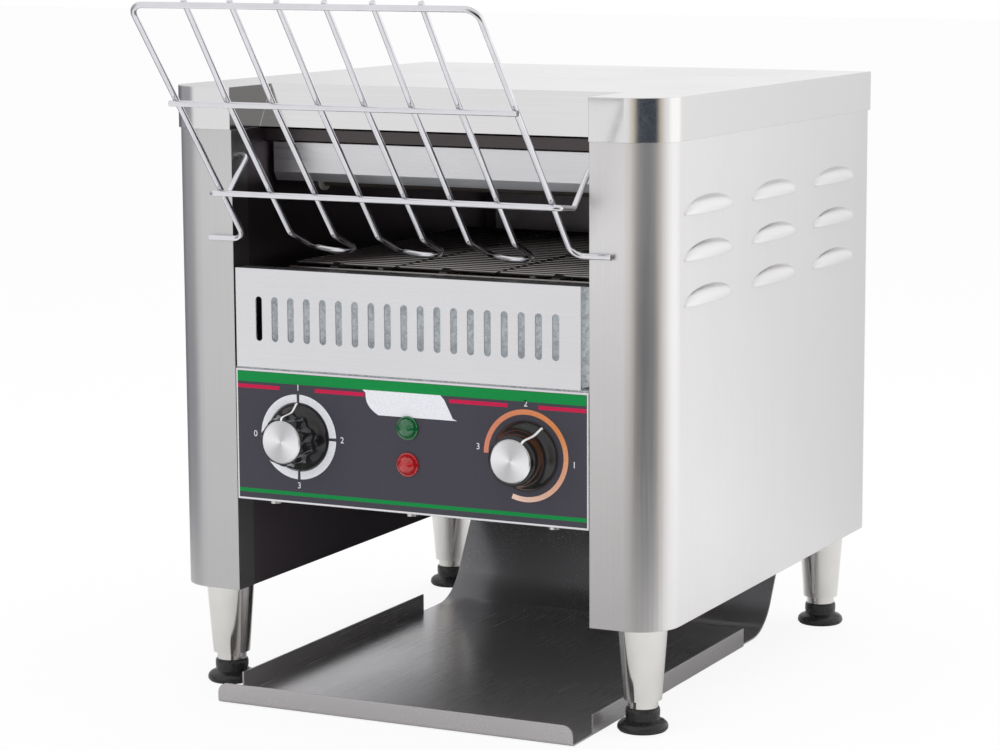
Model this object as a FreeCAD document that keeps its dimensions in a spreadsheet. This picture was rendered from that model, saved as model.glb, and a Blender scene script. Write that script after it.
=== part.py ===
import FreeCAD, Part
import math
import os
import re
import Sketcher

# Conveyor toaster, millimetres, +Z up, the front faces -Y.
# The origin is on the table, at the centre of the footprint of the whole object.
# Inside this file y is counted from the front face of the pillars, and FRONT moves it there.

Vector = FreeCAD.Vector
Rotation = FreeCAD.Rotation
Placement = FreeCAD.Placement

SIZES = {
    # Shell
    "body_width": 368,
    "body_depth": 380,
    "body_bottom": 72.6,
    "mouth_height": 92.6,
    "skirt_height": 28.3,
    "pillar_width": 51.6,
    "corner_radius": 27,
    "sheet_wall": 1.2,
    "return_depth": 19.6,
    "rear_flange": 12,
    "wall_flange": 8,
    "seam_gap": 0.2,
    "base_wall": 2,
    "lip_top_depth": 53.4,
    "lip_bottom_depth": 36.8,
    "lip_hem": 7,
    # Louvers of the side panels
    "louver_count": 3,
    "louver_first_depth": 73.9,
    "louver_last_depth": 71.5,
    "louver_gap": 33.3,
    "louver_top_gap": 47.8,
    "louver_drop": 29.5,
    "louver_height": 11,
    "louver_bulge": 6,
    "louver_wall": 1,
    # Vents of the back panel
    "vent_count": 9,
    "vent_spacing": 12,
    "vent_width": 4,
    "vent_height": 34,
    "vent_row_spacing": 47.6,
    "vent_rise": 107.4,
    # Control box and its front panel
    "exit_height": 64.4,
    "panel_height": 90,
    "panel_flange": 14,
    "panel_side_gap": 0.4,
    "overlay_thickness": 0.3,
    "overlay_border": 1.4,
    "box_back_gap": 130,
    "knob_rise": 45.8,
    "selector_inset": 48.9,
    "speed_inset": 45.4,
    "upper_lamp_rise": 58,
    "lower_lamp_rise": 33.4,
    # Grille panel above the controls
    "grille_height": 67.4,
    "grille_left_gap": 1.3,
    "grille_right_gap": 5.9,
    "slot_count": 19,
    "slot_margin": 17.92,
    "slot_width": 4.7,
    "slot_height": 30.3,
    "slot_drop": 34,
    "backing_depth": 8,
    "backing_inset": 22,
    # Toasting chamber
    "ceiling_drop": 1.4,
    "ceiling_front": 43,
    "ceiling_flange": 8,
    "deflector_front": 50,
    "deflector_drop": 10.9,
    "deflector_height": 20.5,
    "deflector_hem": 6.2,
    "deflector_side_gap": 2.9,
    "deflector_flange": 12,
    "reflector_height": 11.8,
    "reflector_front": 22,
    "element_radius": 4,
    "element_first": 122,
    "element_last": 63,
    "element_count": 3,
    "upper_element_drop": 43.2,
    "bush_radius": 7,
    "bush_reach": 5,
    "element_end": 14,
    "hanger_offset": 29,
    # Conveyor
    "belt_side_gap": 14.4,
    "rod_radius": 1.2,
    "rod_pitch": 10,
    "belt_back_gap": 69.5,
    "belt_half_teeth": 6,
    "belt_drop": 1.6,
    "front_shaft_depth": 60,
    "strand_count": 4,
    "strand_thickness": 1.6,
    "shaft_radius": 6,
    "running_clearance": 0.05,
    "sprocket_thickness": 6,
    "sprocket_inset": 34,
    "bearing_radius": 9,
    "bearing_flange": 12.5,
    "bearing_lip": 2.4,
    "rail_radius": 2,
    "rail_inset": 60,
    "rail_gap": 0.3,
    # Drive
    "chain_pitch": 6.35,
    "chain_gap": 18.4,
    "roller_radius": 1.65,
    "roller_width": 3.2,
    "plate_half": 2.7,
    "plate_thickness": 0.8,
    "motor_teeth": 12,
    "drive_teeth": 20,
    "tooth_width": 2.8,
    "tooth_relief": 0.4,
    "motor_shaft_radius": 5,
    "gearbox_half": 30,
    "gearbox_length": 42,
    "motor_radius": 27,
    "motor_length": 62,
    "motor_rise": 15.6,
    "motor_rear_gap": 15.6,
    # Cooling fan in the floor of the control box
    "fan_side": 80,
    "fan_depth": 25,
    "fan_rim": 2,
    "fan_hub": 16,
    "fan_blades": 7,
    "blade_angle": 48,
    "fan_offset": -20,
    "fan_back": 120,
    # Knobs and lamps
    "knob_skirt": 23,
    "knob_skirt_height": 5,
    "knob_grip": 18.5,
    "knob_top": 17,
    "knob_height": 22,
    "knob_gap": 0.6,
    "knob_flutes": 16,
    "cap_radius": 14.5,
    "cap_height": 2.2,
    "cap_bevel": 0.8,
    "spindle_radius": 3,
    "spindle_reach": 12,
    "switch_side": 42,
    "switch_depth": 34,
    "dial_radius": 19,
    "lamp_radius": 6.3,
    "bezel_radius": 8,
    "bezel_height": 1.6,
    "lens_height": 6,
    "lamp_depth": 24,
    # Legs and levelling feet
    "leg_inset": 26.4,
    "leg_front": 29,
    "leg_back": 18,
    "leg_top_radius": 16.7,
    "leg_bottom_radius": 12.7,
    "leg_taper_bottom": 21.5,
    "neck_radius": 10.2,
    "neck_bottom": 16.3,
    "collar_radius": 11.5,
    "collar_bottom": 8,
    "flange_radius": 17,
    "stud_radius": 5,
    "stud_length": 38,
    # Sliding tray
    "tray_front": 28.3,
    "tray_overhang": 1,
    "tray_lift": 0.3,
    "tray_lip": 14,
    "tray_wall": 1.2,
    "tray_side_front": 3.2,
    "tray_side_gap": 23.5,
    "tray_bend_radius": 40,
    "tray_slope": 60,
    "chute_climb": 112.4,
    "chute_flange": 12.3,
    "tray_clearance": 0.8,
    # Bread rack of bent wire
    "wire_radius": 2,
    "rack_reach": 136,
    "rack_rise": 106.5,
    "rack_side_gap": 10.9,
    "rack_corner": 9,
    "hook_drop": 55,
    "hook_overlap": 16.6,
    "hook_gap": 0.3,
    "cross_rise": 42.9,
    "hanger_drop": 19,
    "rod_overhang": 3,
    "pivot_depth": 12,
    "pivot_drop": 17.7,
    "pivot_reach": 6,
    "hanger_bend_depth": 13,
    "hanger_bend_drop": 24,
    "guide_margin": 38.25,
    "guide_bend_drop": 48.5,
    "guide_tip_depth": 30,
    "guide_tip_drop": 63.5,
    "weld_sink": 0.1,
    # Rear fittings and screws
    "gland_reach": 12,
    "gland_radius": 10,
    "gland_neck": 7.8,
    "gland_nut": 8.5,
    "gland_tip": 7.5,
    "gland_bore": 4,
    "gland_inset": 26,
    "gland_rise": 37.4,
    "screw_head": 3.9,
    "screw_head_height": 2,
    "back_screw_inset": 6,
    "panel_screw_inset": 27.1,
    # Board of the speed control
    "board_left": 12,
    "board_front": 60,
    "board_gap": 4.4,
    "board_length": 130,
    "board_thickness": 1.6,
    "board_post": 6,
    "board_part_height": 26,
}

# Places and spans that follow from the sizes
PLACES = {
    "half_opening": "body_width / 2 - pillar_width",
    "panel_bottom": "body_bottom + exit_height",
    "panel_top": "panel_bottom + panel_height",
    "grille_top": "panel_top + sheet_wall + grille_height",
    "wall_top": "grille_top + mouth_height",
    "cover_top": "wall_top + seam_gap + skirt_height",
    "louver_spacing": "(body_depth - louver_first_depth - louver_last_depth) / (louver_count - 1)",
    "louver_length": "louver_spacing - louver_gap",
    "louver_first_height": "cover_top - skirt_height - louver_top_gap",
    "vent_level": "body_bottom + vent_rise",
    "knob_level": "panel_bottom + knob_rise",
    "selector_offset": "selector_inset - half_opening",
    "speed_offset": "half_opening - speed_inset",
    "lamp_upper": "panel_bottom + upper_lamp_rise",
    "lamp_lower": "panel_bottom + lower_lamp_rise",
    "grille_width": "2 * half_opening - grille_left_gap - grille_right_gap",
    "grille_shift": "(grille_left_gap - grille_right_gap) / 2",
    "slot_spacing": "(grille_width - 2 * slot_margin) / (slot_count - 1)",
    "slot_level": "grille_top - slot_drop",
    "deflector_top": "wall_top - deflector_drop",
    "deflector_bend": "deflector_top - deflector_height",
    "deflector_bottom": "deflector_bend - deflector_hem",
    "deflector_width": "2 * (half_opening - deflector_side_gap)",
    "reflector_level": "panel_top + sheet_wall + reflector_height",
    "upper_element_level": "wall_top - upper_element_drop",
    "belt_width": "2 * (half_opening - belt_side_gap)",
    "belt_bays": "floor((body_depth - front_shaft_depth - belt_back_gap) / rod_pitch)",
    "box_depth": "body_depth - box_back_gap",
    "rear_shaft_depth": "front_shaft_depth + belt_bays * rod_pitch",
    "element_spacing": "(rear_shaft_depth - element_first - element_last) / (element_count - 1)",
    "belt_teeth": "2 * belt_half_teeth",
    "belt_level": "grille_top - belt_drop",
    "sprocket_offset": "belt_width / 2 - sprocket_inset",
    "rail_offset": "belt_width / 2 - rail_inset",
    "chain_offset": "half_opening + sheet_wall + chain_gap",
    "fan_bore": "fan_side / 2 - fan_rim",
    "tray_width": "2 * (half_opening + tray_overhang)",
    "tray_top": "tray_lift + chute_climb + chute_flange",
    "pivot_level": "wall_top - pivot_drop",
    "rack_top": "pivot_level + rack_rise",
    "rack_width": "2 * (half_opening - rack_side_gap)",
    "hook_level": "pivot_level - hook_drop",
    "hook_reach": "half_opening + hook_overlap",
    "cross_level": "pivot_level + cross_rise",
    "hanger_level": "pivot_level - hanger_drop",
    "hanger_bend_level": "pivot_level - hanger_bend_drop",
    "guide_spacing": "(rack_width - 2 * guide_margin) / 5",
    "guide_bend_level": "pivot_level - guide_bend_drop",
    "guide_tip_level": "pivot_level - guide_tip_drop",
    "gland_offset": "body_width / 2 - gland_inset",
    "gland_level": "body_bottom + gland_rise",
    "panel_screw_spacing": "half_opening - panel_screw_inset",
    "board_width": "fan_offset - fan_side / 2 - board_gap + half_opening - board_left",
}

doc = FreeCAD.newDocument("conveyor_toaster")
sizes = doc.addObject("Spreadsheet::Sheet", "Sizes")
for row, (alias, value) in enumerate(SIZES.items(), 1):
    sizes.set(f"A{row}", alias)
    sizes.set(f"B{row}", str(value))
    sizes.setAlias(f"B{row}", alias)
doc.recompute()

# Places that many pieces share, as expressions of the sheet
FRONT = "(rack_reach - body_depth - gland_reach) / 2"
HALF = "body_width / 2"
OPENING = "half_opening"
WALL_OUT = "(half_opening + sheet_wall)"
SHELL_IN = "(body_width / 2 - sheet_wall)"
SKIRT_BOTTOM = "(cover_top - skirt_height)"
SHELL_TOP = "(cover_top - sheet_wall)"
WALL_TOP = "wall_top"
COVER_IN = "(body_width / 2 + seam_gap)"
COVER_OUT = "(body_width / 2 + seam_gap + sheet_wall)"
BACK_IN = "(body_depth - sheet_wall)"
WALL_BACK = BACK_IN
BELT_RADIUS = "(rod_pitch / (2 * sin(180 / belt_teeth)))"
SHAFT_LEVEL = f"(belt_level - {BELT_RADIUS})"
REAR_SHAFT = "rear_shaft_depth"
FLOOR_LEVEL = "(panel_bottom + sheet_wall)"
LID_LEVEL = "panel_top"
HOLE = "(shaft_radius + running_clearance)"

subparts = []


def expand(text):
    """The same expression in terms of sizes alone."""
    def place(word):
        return f"({expand(PLACES[word[0]])})" if word[0] in PLACES else word[0]

    return re.sub(r"[a-z][a-z_]*", place, text)


def bound(text):
    """The same expression with each size named in its sheet."""
    def cell(word):
        return "Sizes." + word[0] if word[0] in SIZES else word[0]

    return re.sub(r"[a-z][a-z_]*", cell, expand(text))


def num(text):
    """The present value of an expression of sizes."""
    return float(sizes.evalExpression(expand(text)))


def bind(thing, name, text):
    thing.setExpression(name, bound(text))


def place(thing, at=("0", "0", "0"), turn=None):
    thing.Placement = Placement(Vector(), turn or Rotation())
    bind(thing, "Placement.Base.x", at[0])
    bind(thing, "Placement.Base.y", f"{at[1]} + {FRONT}")
    bind(thing, "Placement.Base.z", at[2])


def keep(thing, label):
    thing.Label = label
    subparts.append(thing)
    return thing


def new_body(label, at=("0", "0", "0"), turn=None):
    body = doc.addObject("PartDesign::Body", label)
    place(body, at, turn)
    return body


def fix_point(sketch, geometry, point, x, y):
    for kind, text in (("DistanceX", x), ("DistanceY", y)):
        index = sketch.addConstraint(Sketcher.Constraint(kind, -1, 1, geometry, point, num(text)))
        bind(sketch, f"Constraints[{index}]", text)


def fix_size(sketch, kind, geometry, text):
    index = sketch.addConstraint(Sketcher.Constraint(kind, geometry, num(text)))
    bind(sketch, f"Constraints[{index}]", text)


def draw_polygon(sketch, points):
    first = sketch.GeometryCount
    count = len(points)
    corners = [Vector(num(x), num(y), 0) for x, y in points]
    for i in range(count):
        sketch.addGeometry(Part.LineSegment(corners[i], corners[(i + 1) % count]), False)
    for i in range(count):
        sketch.addConstraint(Sketcher.Constraint("Coincident", first + i, 2, first + (i + 1) % count, 1))
    for i, (x, y) in enumerate(points):
        fix_point(sketch, first + i, 1, x, y)


def draw_circle(sketch, x, y, radius):
    index = sketch.addGeometry(Part.Circle(Vector(num(x), num(y), 0), Vector(0, 0, 1), num(radius)), False)
    fix_point(sketch, index, 3, x, y)
    fix_size(sketch, "Radius", index, radius)


def draw_slot(sketch, x, y, width, height):
    """An upright slot with round ends."""
    radius = num(width) / 2
    reach = num(height) / 2 - radius
    centre = Vector(num(x), num(y), 0)
    up = Vector(0, reach, 0)
    side = Vector(radius, 0, 0)
    normal = Vector(0, 0, 1)
    top = sketch.addGeometry(Part.ArcOfCircle(Part.Circle(centre + up, normal, radius), 0, math.pi), False)
    low = sketch.addGeometry(
        Part.ArcOfCircle(Part.Circle(centre - up, normal, radius), math.pi, 2 * math.pi), False)
    left = sketch.addGeometry(Part.LineSegment(centre + up - side, centre - up - side), False)
    right = sketch.addGeometry(Part.LineSegment(centre - up + side, centre + up + side), False)
    for joint in ((top, 2, left, 1), (left, 2, low, 1), (low, 2, right, 1), (right, 2, top, 1)):
        sketch.addConstraint(Sketcher.Constraint("Tangent", *joint))
    sketch.addConstraint(Sketcher.Constraint("Equal", top, low))
    fix_size(sketch, "Radius", top, f"({width}) / 2")
    fix_point(sketch, top, 3, x, f"{y} + ({height} - {width}) / 2")
    fix_point(sketch, low, 3, x, f"{y} - ({height} - {width}) / 2")


def draw(body, plane, at, loops):
    """A sketch parallel to an origin plane, at a distance along the axis that crosses it."""
    sketch = body.newObject("Sketcher::SketchObject", body.Name + "_sketch")
    role = plane + "_Plane"
    support = [item for item in body.Origin.OriginFeatures if item.Role == role][0]
    sketch.AttachmentSupport = [(support, "")]
    sketch.MapMode = "FlatFace"
    bind(sketch, "AttachmentOffset.Base.z", f"-({at})" if plane == "XZ" else at)
    for loop in loops:
        if loop[0] == "circle":
            draw_circle(sketch, *loop[1:])
        elif loop[0] == "slot":
            draw_slot(sketch, *loop[1:])
        else:
            draw_polygon(sketch, loop)
    return sketch


def pad(body, plane, at, length, *loops):
    """Material from a plane towards the positive end of the axis that crosses it."""
    feature = body.newObject("PartDesign::Pad", body.Name + "_pad")
    feature.Profile = draw(body, plane, at, loops)
    feature.Reversed = plane == "XZ"
    bind(feature, "Length", length)
    return feature


def pocket(body, plane, at, length, *loops):
    """The same stretch taken away."""
    feature = body.newObject("PartDesign::Pocket", body.Name + "_pocket")
    feature.Profile = draw(body, plane, at, loops)
    feature.Reversed = plane != "XZ"
    bind(feature, "Length", length)
    return feature


def repeat(body, feature, axis, spacing, count):
    """A feature repeated along an axis of its own sketch."""
    pattern = body.newObject("PartDesign::LinearPattern", body.Name + "_row")
    pattern.Originals = [feature]
    pattern.Direction = (feature.Profile[0], [axis])
    pattern.Mode = "Spacing"
    bind(pattern, "Offset", spacing)
    bind(pattern, "Occurrences", count)
    body.Tip = pattern
    return pattern


def revolve(label, at, turn, *loops):
    """A turned piece: each point is a radius and a distance along its axis."""
    body = new_body(label, at, turn)
    feature = body.newObject("PartDesign::Revolution", label + "_turn")
    feature.Profile = draw(body, "XZ", "0", loops)
    feature.ReferenceAxis = (feature.Profile[0], ["V_Axis"])
    feature.Angle = 360
    return body


def round_edges(body, radius, places):
    """Fillets on the upright edges of a body that stand at the places given."""
    doc.recompute()
    base = body.Tip
    names = []
    for x, y in places:
        target = Vector(num(x), num(y), 0)
        for index, edge in enumerate(base.Shape.Edges, 1):
            ends = [vertex.Point for vertex in edge.Vertexes]
            if len(ends) == 2 and all(math.hypot(p.x - target.x, p.y - target.y) < 0.01 for p in ends):
                names.append(f"Edge{index}")
    fillet = body.newObject("PartDesign::Fillet", body.Name + "_round")
    fillet.Base = (base, names)
    bind(fillet, "Radius", radius)
    return fillet


def rectangle(left, low, right, high):
    return [(left, low), (right, low), (right, high), (left, high)]


def box(low, high):
    solid = doc.addObject("Part::Box", "block")
    for side, start, end in zip(("Length", "Width", "Height"), low, high):
        bind(solid, side, f"({end}) - ({start})")
    place(solid, low)
    return solid


TURNS = {
    "X": Rotation(Vector(0, 1, 0), 90),
    "Y": Rotation(Vector(1, 0, 0), -90),
    "-Y": Rotation(Vector(1, 0, 0), 90),
    "Z": Rotation(),
}


def cylinder(start, axis, length, radius):
    solid = doc.addObject("Part::Cylinder", "round")
    bind(solid, "Radius", radius)
    bind(solid, "Height", length)
    place(solid, start, TURNS[axis])
    return solid


def fuse(solids):
    joined = doc.addObject("Part::MultiFuse", "joined")
    joined.Shapes = solids
    return joined


def group(solids):
    """Like pieces that stay separate solids in one node."""
    together = doc.addObject("Part::Compound", "together")
    together.Links = solids
    return together


def cut(base, tools):
    result = doc.addObject("Part::Cut", "cut")
    result.Base = base
    result.Tool = tools[0] if len(tools) == 1 else fuse(tools)
    return result


def free_shape(label, shape):
    """A piece made directly from curves, which reads its sizes from the sheet."""
    feature = doc.addObject("Part::Feature", label)
    feature.Shape = shape
    feature.Placement = Placement(Vector(0, num(FRONT), 0), Rotation())
    return keep(feature, label)


def times(sign, text):
    return f"{sign} * ({text})"


def span(sign, near, far):
    """Two places along x on one side of the middle, the lower one first."""
    ends = (times(sign, near), times(sign, far))
    return ends if sign > 0 else ends[::-1]


# Side panels: pillar face, rounded corner, side and rear flange are one bent sheet

def louver_quarters(sign, wall):
    """Quarter ellipsoids on the side panel, their flat faces down and inwards."""
    quarters = []
    for column in range(int(num("louver_count"))):
        for row in range(int(num("louver_count"))):
            quarter = doc.addObject("Part::Ellipsoid", "louver")
            quarter.Angle1 = 0
            quarter.Angle2 = 90
            quarter.Angle3 = 180
            bind(quarter, "Radius1", f"louver_height - {wall}")
            bind(quarter, "Radius2", f"louver_length / 2 - {wall}")
            bind(quarter, "Radius3", f"louver_bulge + sheet_wall - {wall}")
            at = (times(sign, SHELL_IN), f"louver_first_depth + {column} * louver_spacing",
                  f"louver_first_height - {row} * louver_drop")
            place(quarter, at, Rotation(Vector(0, 0, 1), -90 * sign))
            quarters.append(quarter)
    return quarters


def side_panel(label, sign):
    shell = new_body(label + "_sheet")
    outline = [
        (HALF, BACK_IN), (HALF, "0"), (OPENING, "0"), (OPENING, "return_depth"),
        (WALL_OUT, "return_depth"), (WALL_OUT, "sheet_wall"), (SHELL_IN, "sheet_wall"),
        (SHELL_IN, f"{BACK_IN} - sheet_wall"), (f"{HALF} - rear_flange", f"{BACK_IN} - sheet_wall"),
        (f"{HALF} - rear_flange", BACK_IN),
    ]
    pad(shell, "XY", "body_bottom", f"{SHELL_TOP} - body_bottom", [(times(sign, x), y) for x, y in outline])
    round_edges(shell, "corner_radius - sheet_wall", [(times(sign, SHELL_IN), "sheet_wall")])
    round_edges(shell, "corner_radius", [(times(sign, HALF), "0")])
    # The return stops under the skirt of the cover, and holds the rack in a hole
    low, high = span(sign, f"{OPENING} - sheet_wall", f"{WALL_OUT} + seam_gap")
    pocket(shell, "XY", WALL_TOP, "skirt_height",
           rectangle(low, "-sheet_wall", high, "return_depth + sheet_wall"))
    low = span(sign, OPENING, WALL_OUT)[0]
    pocket(shell, "YZ", low, "sheet_wall",
           ("circle", "pivot_depth", "pivot_level", "wire_radius + 2 * running_clearance"))
    outer = louver_quarters(sign, "0")
    inner = louver_quarters(sign, "louver_wall")
    scoops = cut(fuse(outer), inner)
    openings = louver_quarters(sign, "louver_wall")
    keep(fuse([cut(shell, openings), scoops]), label)


side_panel("left_side_panel", -1)
side_panel("right_side_panel", 1)


# Inner walls between the toasting chamber and the side compartments

def element_depth(index):
    return f"element_first + {index} * element_spacing"


def inner_wall(label, sign):
    wall = new_body(label)
    low = span(sign, OPENING, WALL_OUT)[0]
    pad(wall, "YZ", low, "sheet_wall", rectangle("return_depth", "body_bottom", WALL_BACK, WALL_TOP))
    holes = []
    for depth in ("front_shaft_depth", REAR_SHAFT):
        holes.append(("circle", depth, SHAFT_LEVEL, "bearing_radius"))
    for index in range(int(num("element_count"))):
        for level in ("upper_element_level", SHAFT_LEVEL):
            holes.append(("circle", element_depth(index), level, "bush_radius"))
    if sign > 0:
        holes.append(("circle", MOTOR_DEPTH, MOTOR_LEVEL, "bearing_radius + seam_gap"))
    pocket(wall, "YZ", low, "sheet_wall", *holes)
    # A flange at the back, above the chute of the tray
    low, high = span(sign, f"{OPENING} - wall_flange", OPENING)
    start = "(tray_top + 2 * tray_clearance)"
    pad(wall, "XY", start, f"{WALL_TOP} - ceiling_drop - sheet_wall - {start}",
        rectangle(low, f"{WALL_BACK} - sheet_wall", high, WALL_BACK))
    keep(wall, label)


# Chain drive: a whole even number of links sets the distance between the two shafts

def pitch_radius(teeth):
    return f"(chain_pitch / (2 * sin(180 / {teeth})))"


def chain_count(distance):
    """Links that a chain round both sprockets takes at a distance between the shafts."""
    small = num(pitch_radius("motor_teeth"))
    large = num(pitch_radius("drive_teeth"))
    lean = math.asin((large - small) / distance)
    straight = distance * math.cos(lean) / num("chain_pitch")
    small_part = (math.pi - 2 * lean) / (2 * math.pi) * num("motor_teeth")
    large_part = (math.pi + 2 * lean) / (2 * math.pi) * num("drive_teeth")
    return 2 * straight + small_part + large_part


def shaft_distance(links):
    low = num(f"{pitch_radius('motor_teeth')} + {pitch_radius('drive_teeth')}")
    high = num("chain_pitch") * links
    for _ in range(60):
        middle = (low + high) / 2
        if chain_count(middle) < links:
            low = middle
        else:
            high = middle
    return middle


MOTOR_RUN = num(f"{REAR_SHAFT} - (box_depth - sheet_wall - motor_rear_gap - gearbox_half)")
MOTOR_FALL = num(f"{SHAFT_LEVEL} - ({FLOOR_LEVEL} + sheet_wall + motor_rise + gearbox_half)")
CHAIN_LINKS = 2 * round(chain_count(math.hypot(MOTOR_RUN, MOTOR_FALL)) / 2)
CHAIN_REACH = shaft_distance(CHAIN_LINKS)
CHAIN_SHARE = CHAIN_REACH / math.hypot(MOTOR_RUN, MOTOR_FALL)
MOTOR_DEPTH = f"({REAR_SHAFT} - {MOTOR_RUN * CHAIN_SHARE})"
MOTOR_LEVEL = f"({SHAFT_LEVEL} - {MOTOR_FALL * CHAIN_SHARE})"

inner_wall("left_inner_wall", -1)
inner_wall("right_inner_wall", 1)


# Base plates close the side compartments and carry the legs

LEG_X = "(body_width / 2 - leg_inset)"
LEG_DEPTHS = ("leg_front", "(body_depth - leg_back)")


def base_plate(label, sign):
    plate = new_body(label)
    low, high = span(sign, WALL_OUT, SHELL_IN)
    pad(plate, "XY", "body_bottom", "base_wall",
        rectangle(low, "sheet_wall", high, f"{BACK_IN} - sheet_wall"))
    round_edges(plate, "corner_radius - sheet_wall", [(times(sign, SHELL_IN), "sheet_wall")])
    low, high = span(sign, f"{WALL_OUT} - sheet_wall", f"{WALL_OUT}")
    holes = [("circle", times(sign, LEG_X), depth, "stud_radius") for depth in LEG_DEPTHS]
    pocket(plate, "XY", "body_bottom", "base_wall", *holes)
    keep(plate, label)


base_plate("left_base_plate", -1)
base_plate("right_base_plate", 1)


# Cover with its skirt, front corner pieces and the set-back slanted lip between them

def top_cover():
    cover = new_body("top_cover")
    front = "-(seam_gap + sheet_wall)"
    rear = "(body_depth + seam_gap + sheet_wall)"
    pad(cover, "XY", SKIRT_BOTTOM, "skirt_height", rectangle(f"-{COVER_OUT}", front, COVER_OUT, rear))
    pocket(cover, "XY", SKIRT_BOTTOM, "skirt_height - sheet_wall",
           rectangle(f"-{COVER_IN}", "-seam_gap", COVER_IN, "body_depth + seam_gap"))
    round_edges(cover, "corner_radius + seam_gap", [(f"-{COVER_IN}", "-seam_gap"), (COVER_IN, "-seam_gap")])
    round_edges(cover, "corner_radius + seam_gap + sheet_wall",
                [(f"-{COVER_OUT}", front), (COVER_OUT, front)])
    pocket(cover, "YZ", f"-{OPENING}", f"2 * {OPENING}", [
        (f"3 * {front}", f"{SKIRT_BOTTOM} - sheet_wall"),
        ("lip_bottom_depth", f"{SKIRT_BOTTOM} - sheet_wall"),
        ("lip_bottom_depth", SKIRT_BOTTOM),
        ("lip_top_depth", "cover_top"),
        ("lip_top_depth", "cover_top + sheet_wall"),
        (f"3 * {front}", "cover_top + sheet_wall"),
    ])
    pad(cover, "YZ", f"-{OPENING}", f"2 * {OPENING}", [
        ("lip_bottom_depth", SKIRT_BOTTOM),
        ("lip_bottom_depth + lip_hem", SKIRT_BOTTOM),
        ("lip_bottom_depth + lip_hem", f"{SKIRT_BOTTOM} + sheet_wall"),
        ("lip_bottom_depth + 2 * sheet_wall", f"{SKIRT_BOTTOM} + sheet_wall"),
        ("lip_top_depth + sheet_wall", "cover_top"),
        ("lip_top_depth", "cover_top"),
    ])
    for sign in (-1, 1):
        low = span(sign, OPENING, WALL_OUT)[0]
        pad(cover, "YZ", low, "sheet_wall", [
            ("-seam_gap", SKIRT_BOTTOM),
            ("lip_bottom_depth + sheet_wall", SKIRT_BOTTOM),
            ("lip_top_depth + sheet_wall", "cover_top - sheet_wall"),
            ("-seam_gap", "cover_top - sheet_wall"),
        ])
    keep(cover, "top_cover")


top_cover()


# Back panel with two rows of vents and the hole of the cable gland

def back_panel():
    panel = new_body("back_panel")
    pad(panel, "XZ", BACK_IN, "sheet_wall", rectangle(f"-{HALF}", "body_bottom", HALF, SHELL_TOP))
    pocket(panel, "XZ", BACK_IN, "sheet_wall", ("circle", "-gland_offset", "gland_level", "gland_neck + seam_gap"))
    first = "-(vent_count - 1) / 2 * vent_spacing"
    for row in (0, 1):
        vents = pocket(panel, "XZ", BACK_IN, "sheet_wall",
                       ("slot", first, f"vent_level + {row} * vent_row_spacing", "vent_width", "vent_height"))
        repeat(panel, vents, "H_Axis", "vent_spacing", "vent_count")
    keep(panel, "back_panel")


back_panel()


# Control panel, its printed overlay, and the grille panel above it

PANEL_HALF = f"({OPENING} - panel_side_gap)"
KNOB_HOLE = "(spindle_radius + running_clearance)"


def control_holes(knob_hole, lamp_hole):
    holes = [("circle", offset, "knob_level", knob_hole) for offset in ("selector_offset", "speed_offset")]
    holes += [("circle", "0", level, lamp_hole) for level in ("lamp_upper", "lamp_lower")]
    return holes


def control_panel():
    panel = new_body("control_panel")
    pad(panel, "YZ", f"-{PANEL_HALF}", f"2 * {PANEL_HALF}", [
        ("0", "panel_bottom"), ("panel_flange", "panel_bottom"), ("panel_flange", FLOOR_LEVEL),
        ("sheet_wall", FLOOR_LEVEL), ("sheet_wall", "panel_top - sheet_wall"),
        ("panel_flange", "panel_top - sheet_wall"), ("panel_flange", "panel_top"), ("0", "panel_top"),
    ])
    pocket(panel, "XZ", "0", "sheet_wall", *control_holes(KNOB_HOLE, "lamp_radius"))
    keep(panel, "control_panel")
    overlay = new_body("control_overlay")
    edge = f"({PANEL_HALF} - overlay_border)"
    pad(overlay, "XZ", "-overlay_thickness", "overlay_thickness",
        rectangle(f"-{edge}", "panel_bottom + overlay_border", edge, "panel_top - overlay_border"))
    pocket(overlay, "XZ", "-overlay_thickness", "overlay_thickness",
           *control_holes("spindle_radius + 3 * seam_gap", "lamp_radius"))
    keep(overlay, "control_overlay")


control_panel()

GRILLE_LEFT = "(grille_shift - grille_width / 2)"
GRILLE_BOTTOM = f"({LID_LEVEL} + sheet_wall)"


def grille_panel():
    panel = new_body("grille_panel")
    pad(panel, "YZ", GRILLE_LEFT, "grille_width", [
        ("0", GRILLE_BOTTOM), ("panel_flange", GRILLE_BOTTOM),
        ("panel_flange", f"{GRILLE_BOTTOM} + sheet_wall"), ("sheet_wall", f"{GRILLE_BOTTOM} + sheet_wall"),
        ("sheet_wall", "grille_top - sheet_wall"), ("panel_flange", "grille_top - sheet_wall"),
        ("panel_flange", "grille_top"), ("0", "grille_top"),
    ])
    first = "grille_shift - (slot_count - 1) / 2 * slot_spacing"
    slots = pocket(panel, "XZ", "0", "sheet_wall", ("slot", first, "slot_level", "slot_width", "slot_height"))
    repeat(panel, slots, "H_Axis", "slot_spacing", "slot_count")
    keep(panel, "grille_panel")
    low = (f"-{PANEL_HALF} + backing_inset", "backing_depth", f"{GRILLE_BOTTOM} + sheet_wall")
    high = (PANEL_HALF, "backing_depth + sheet_wall", "grille_top - sheet_wall")
    keep(box(low, high), "grille_backing")


grille_panel()


# Control box between the inner walls, and the lid that is the chamber's floor

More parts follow.
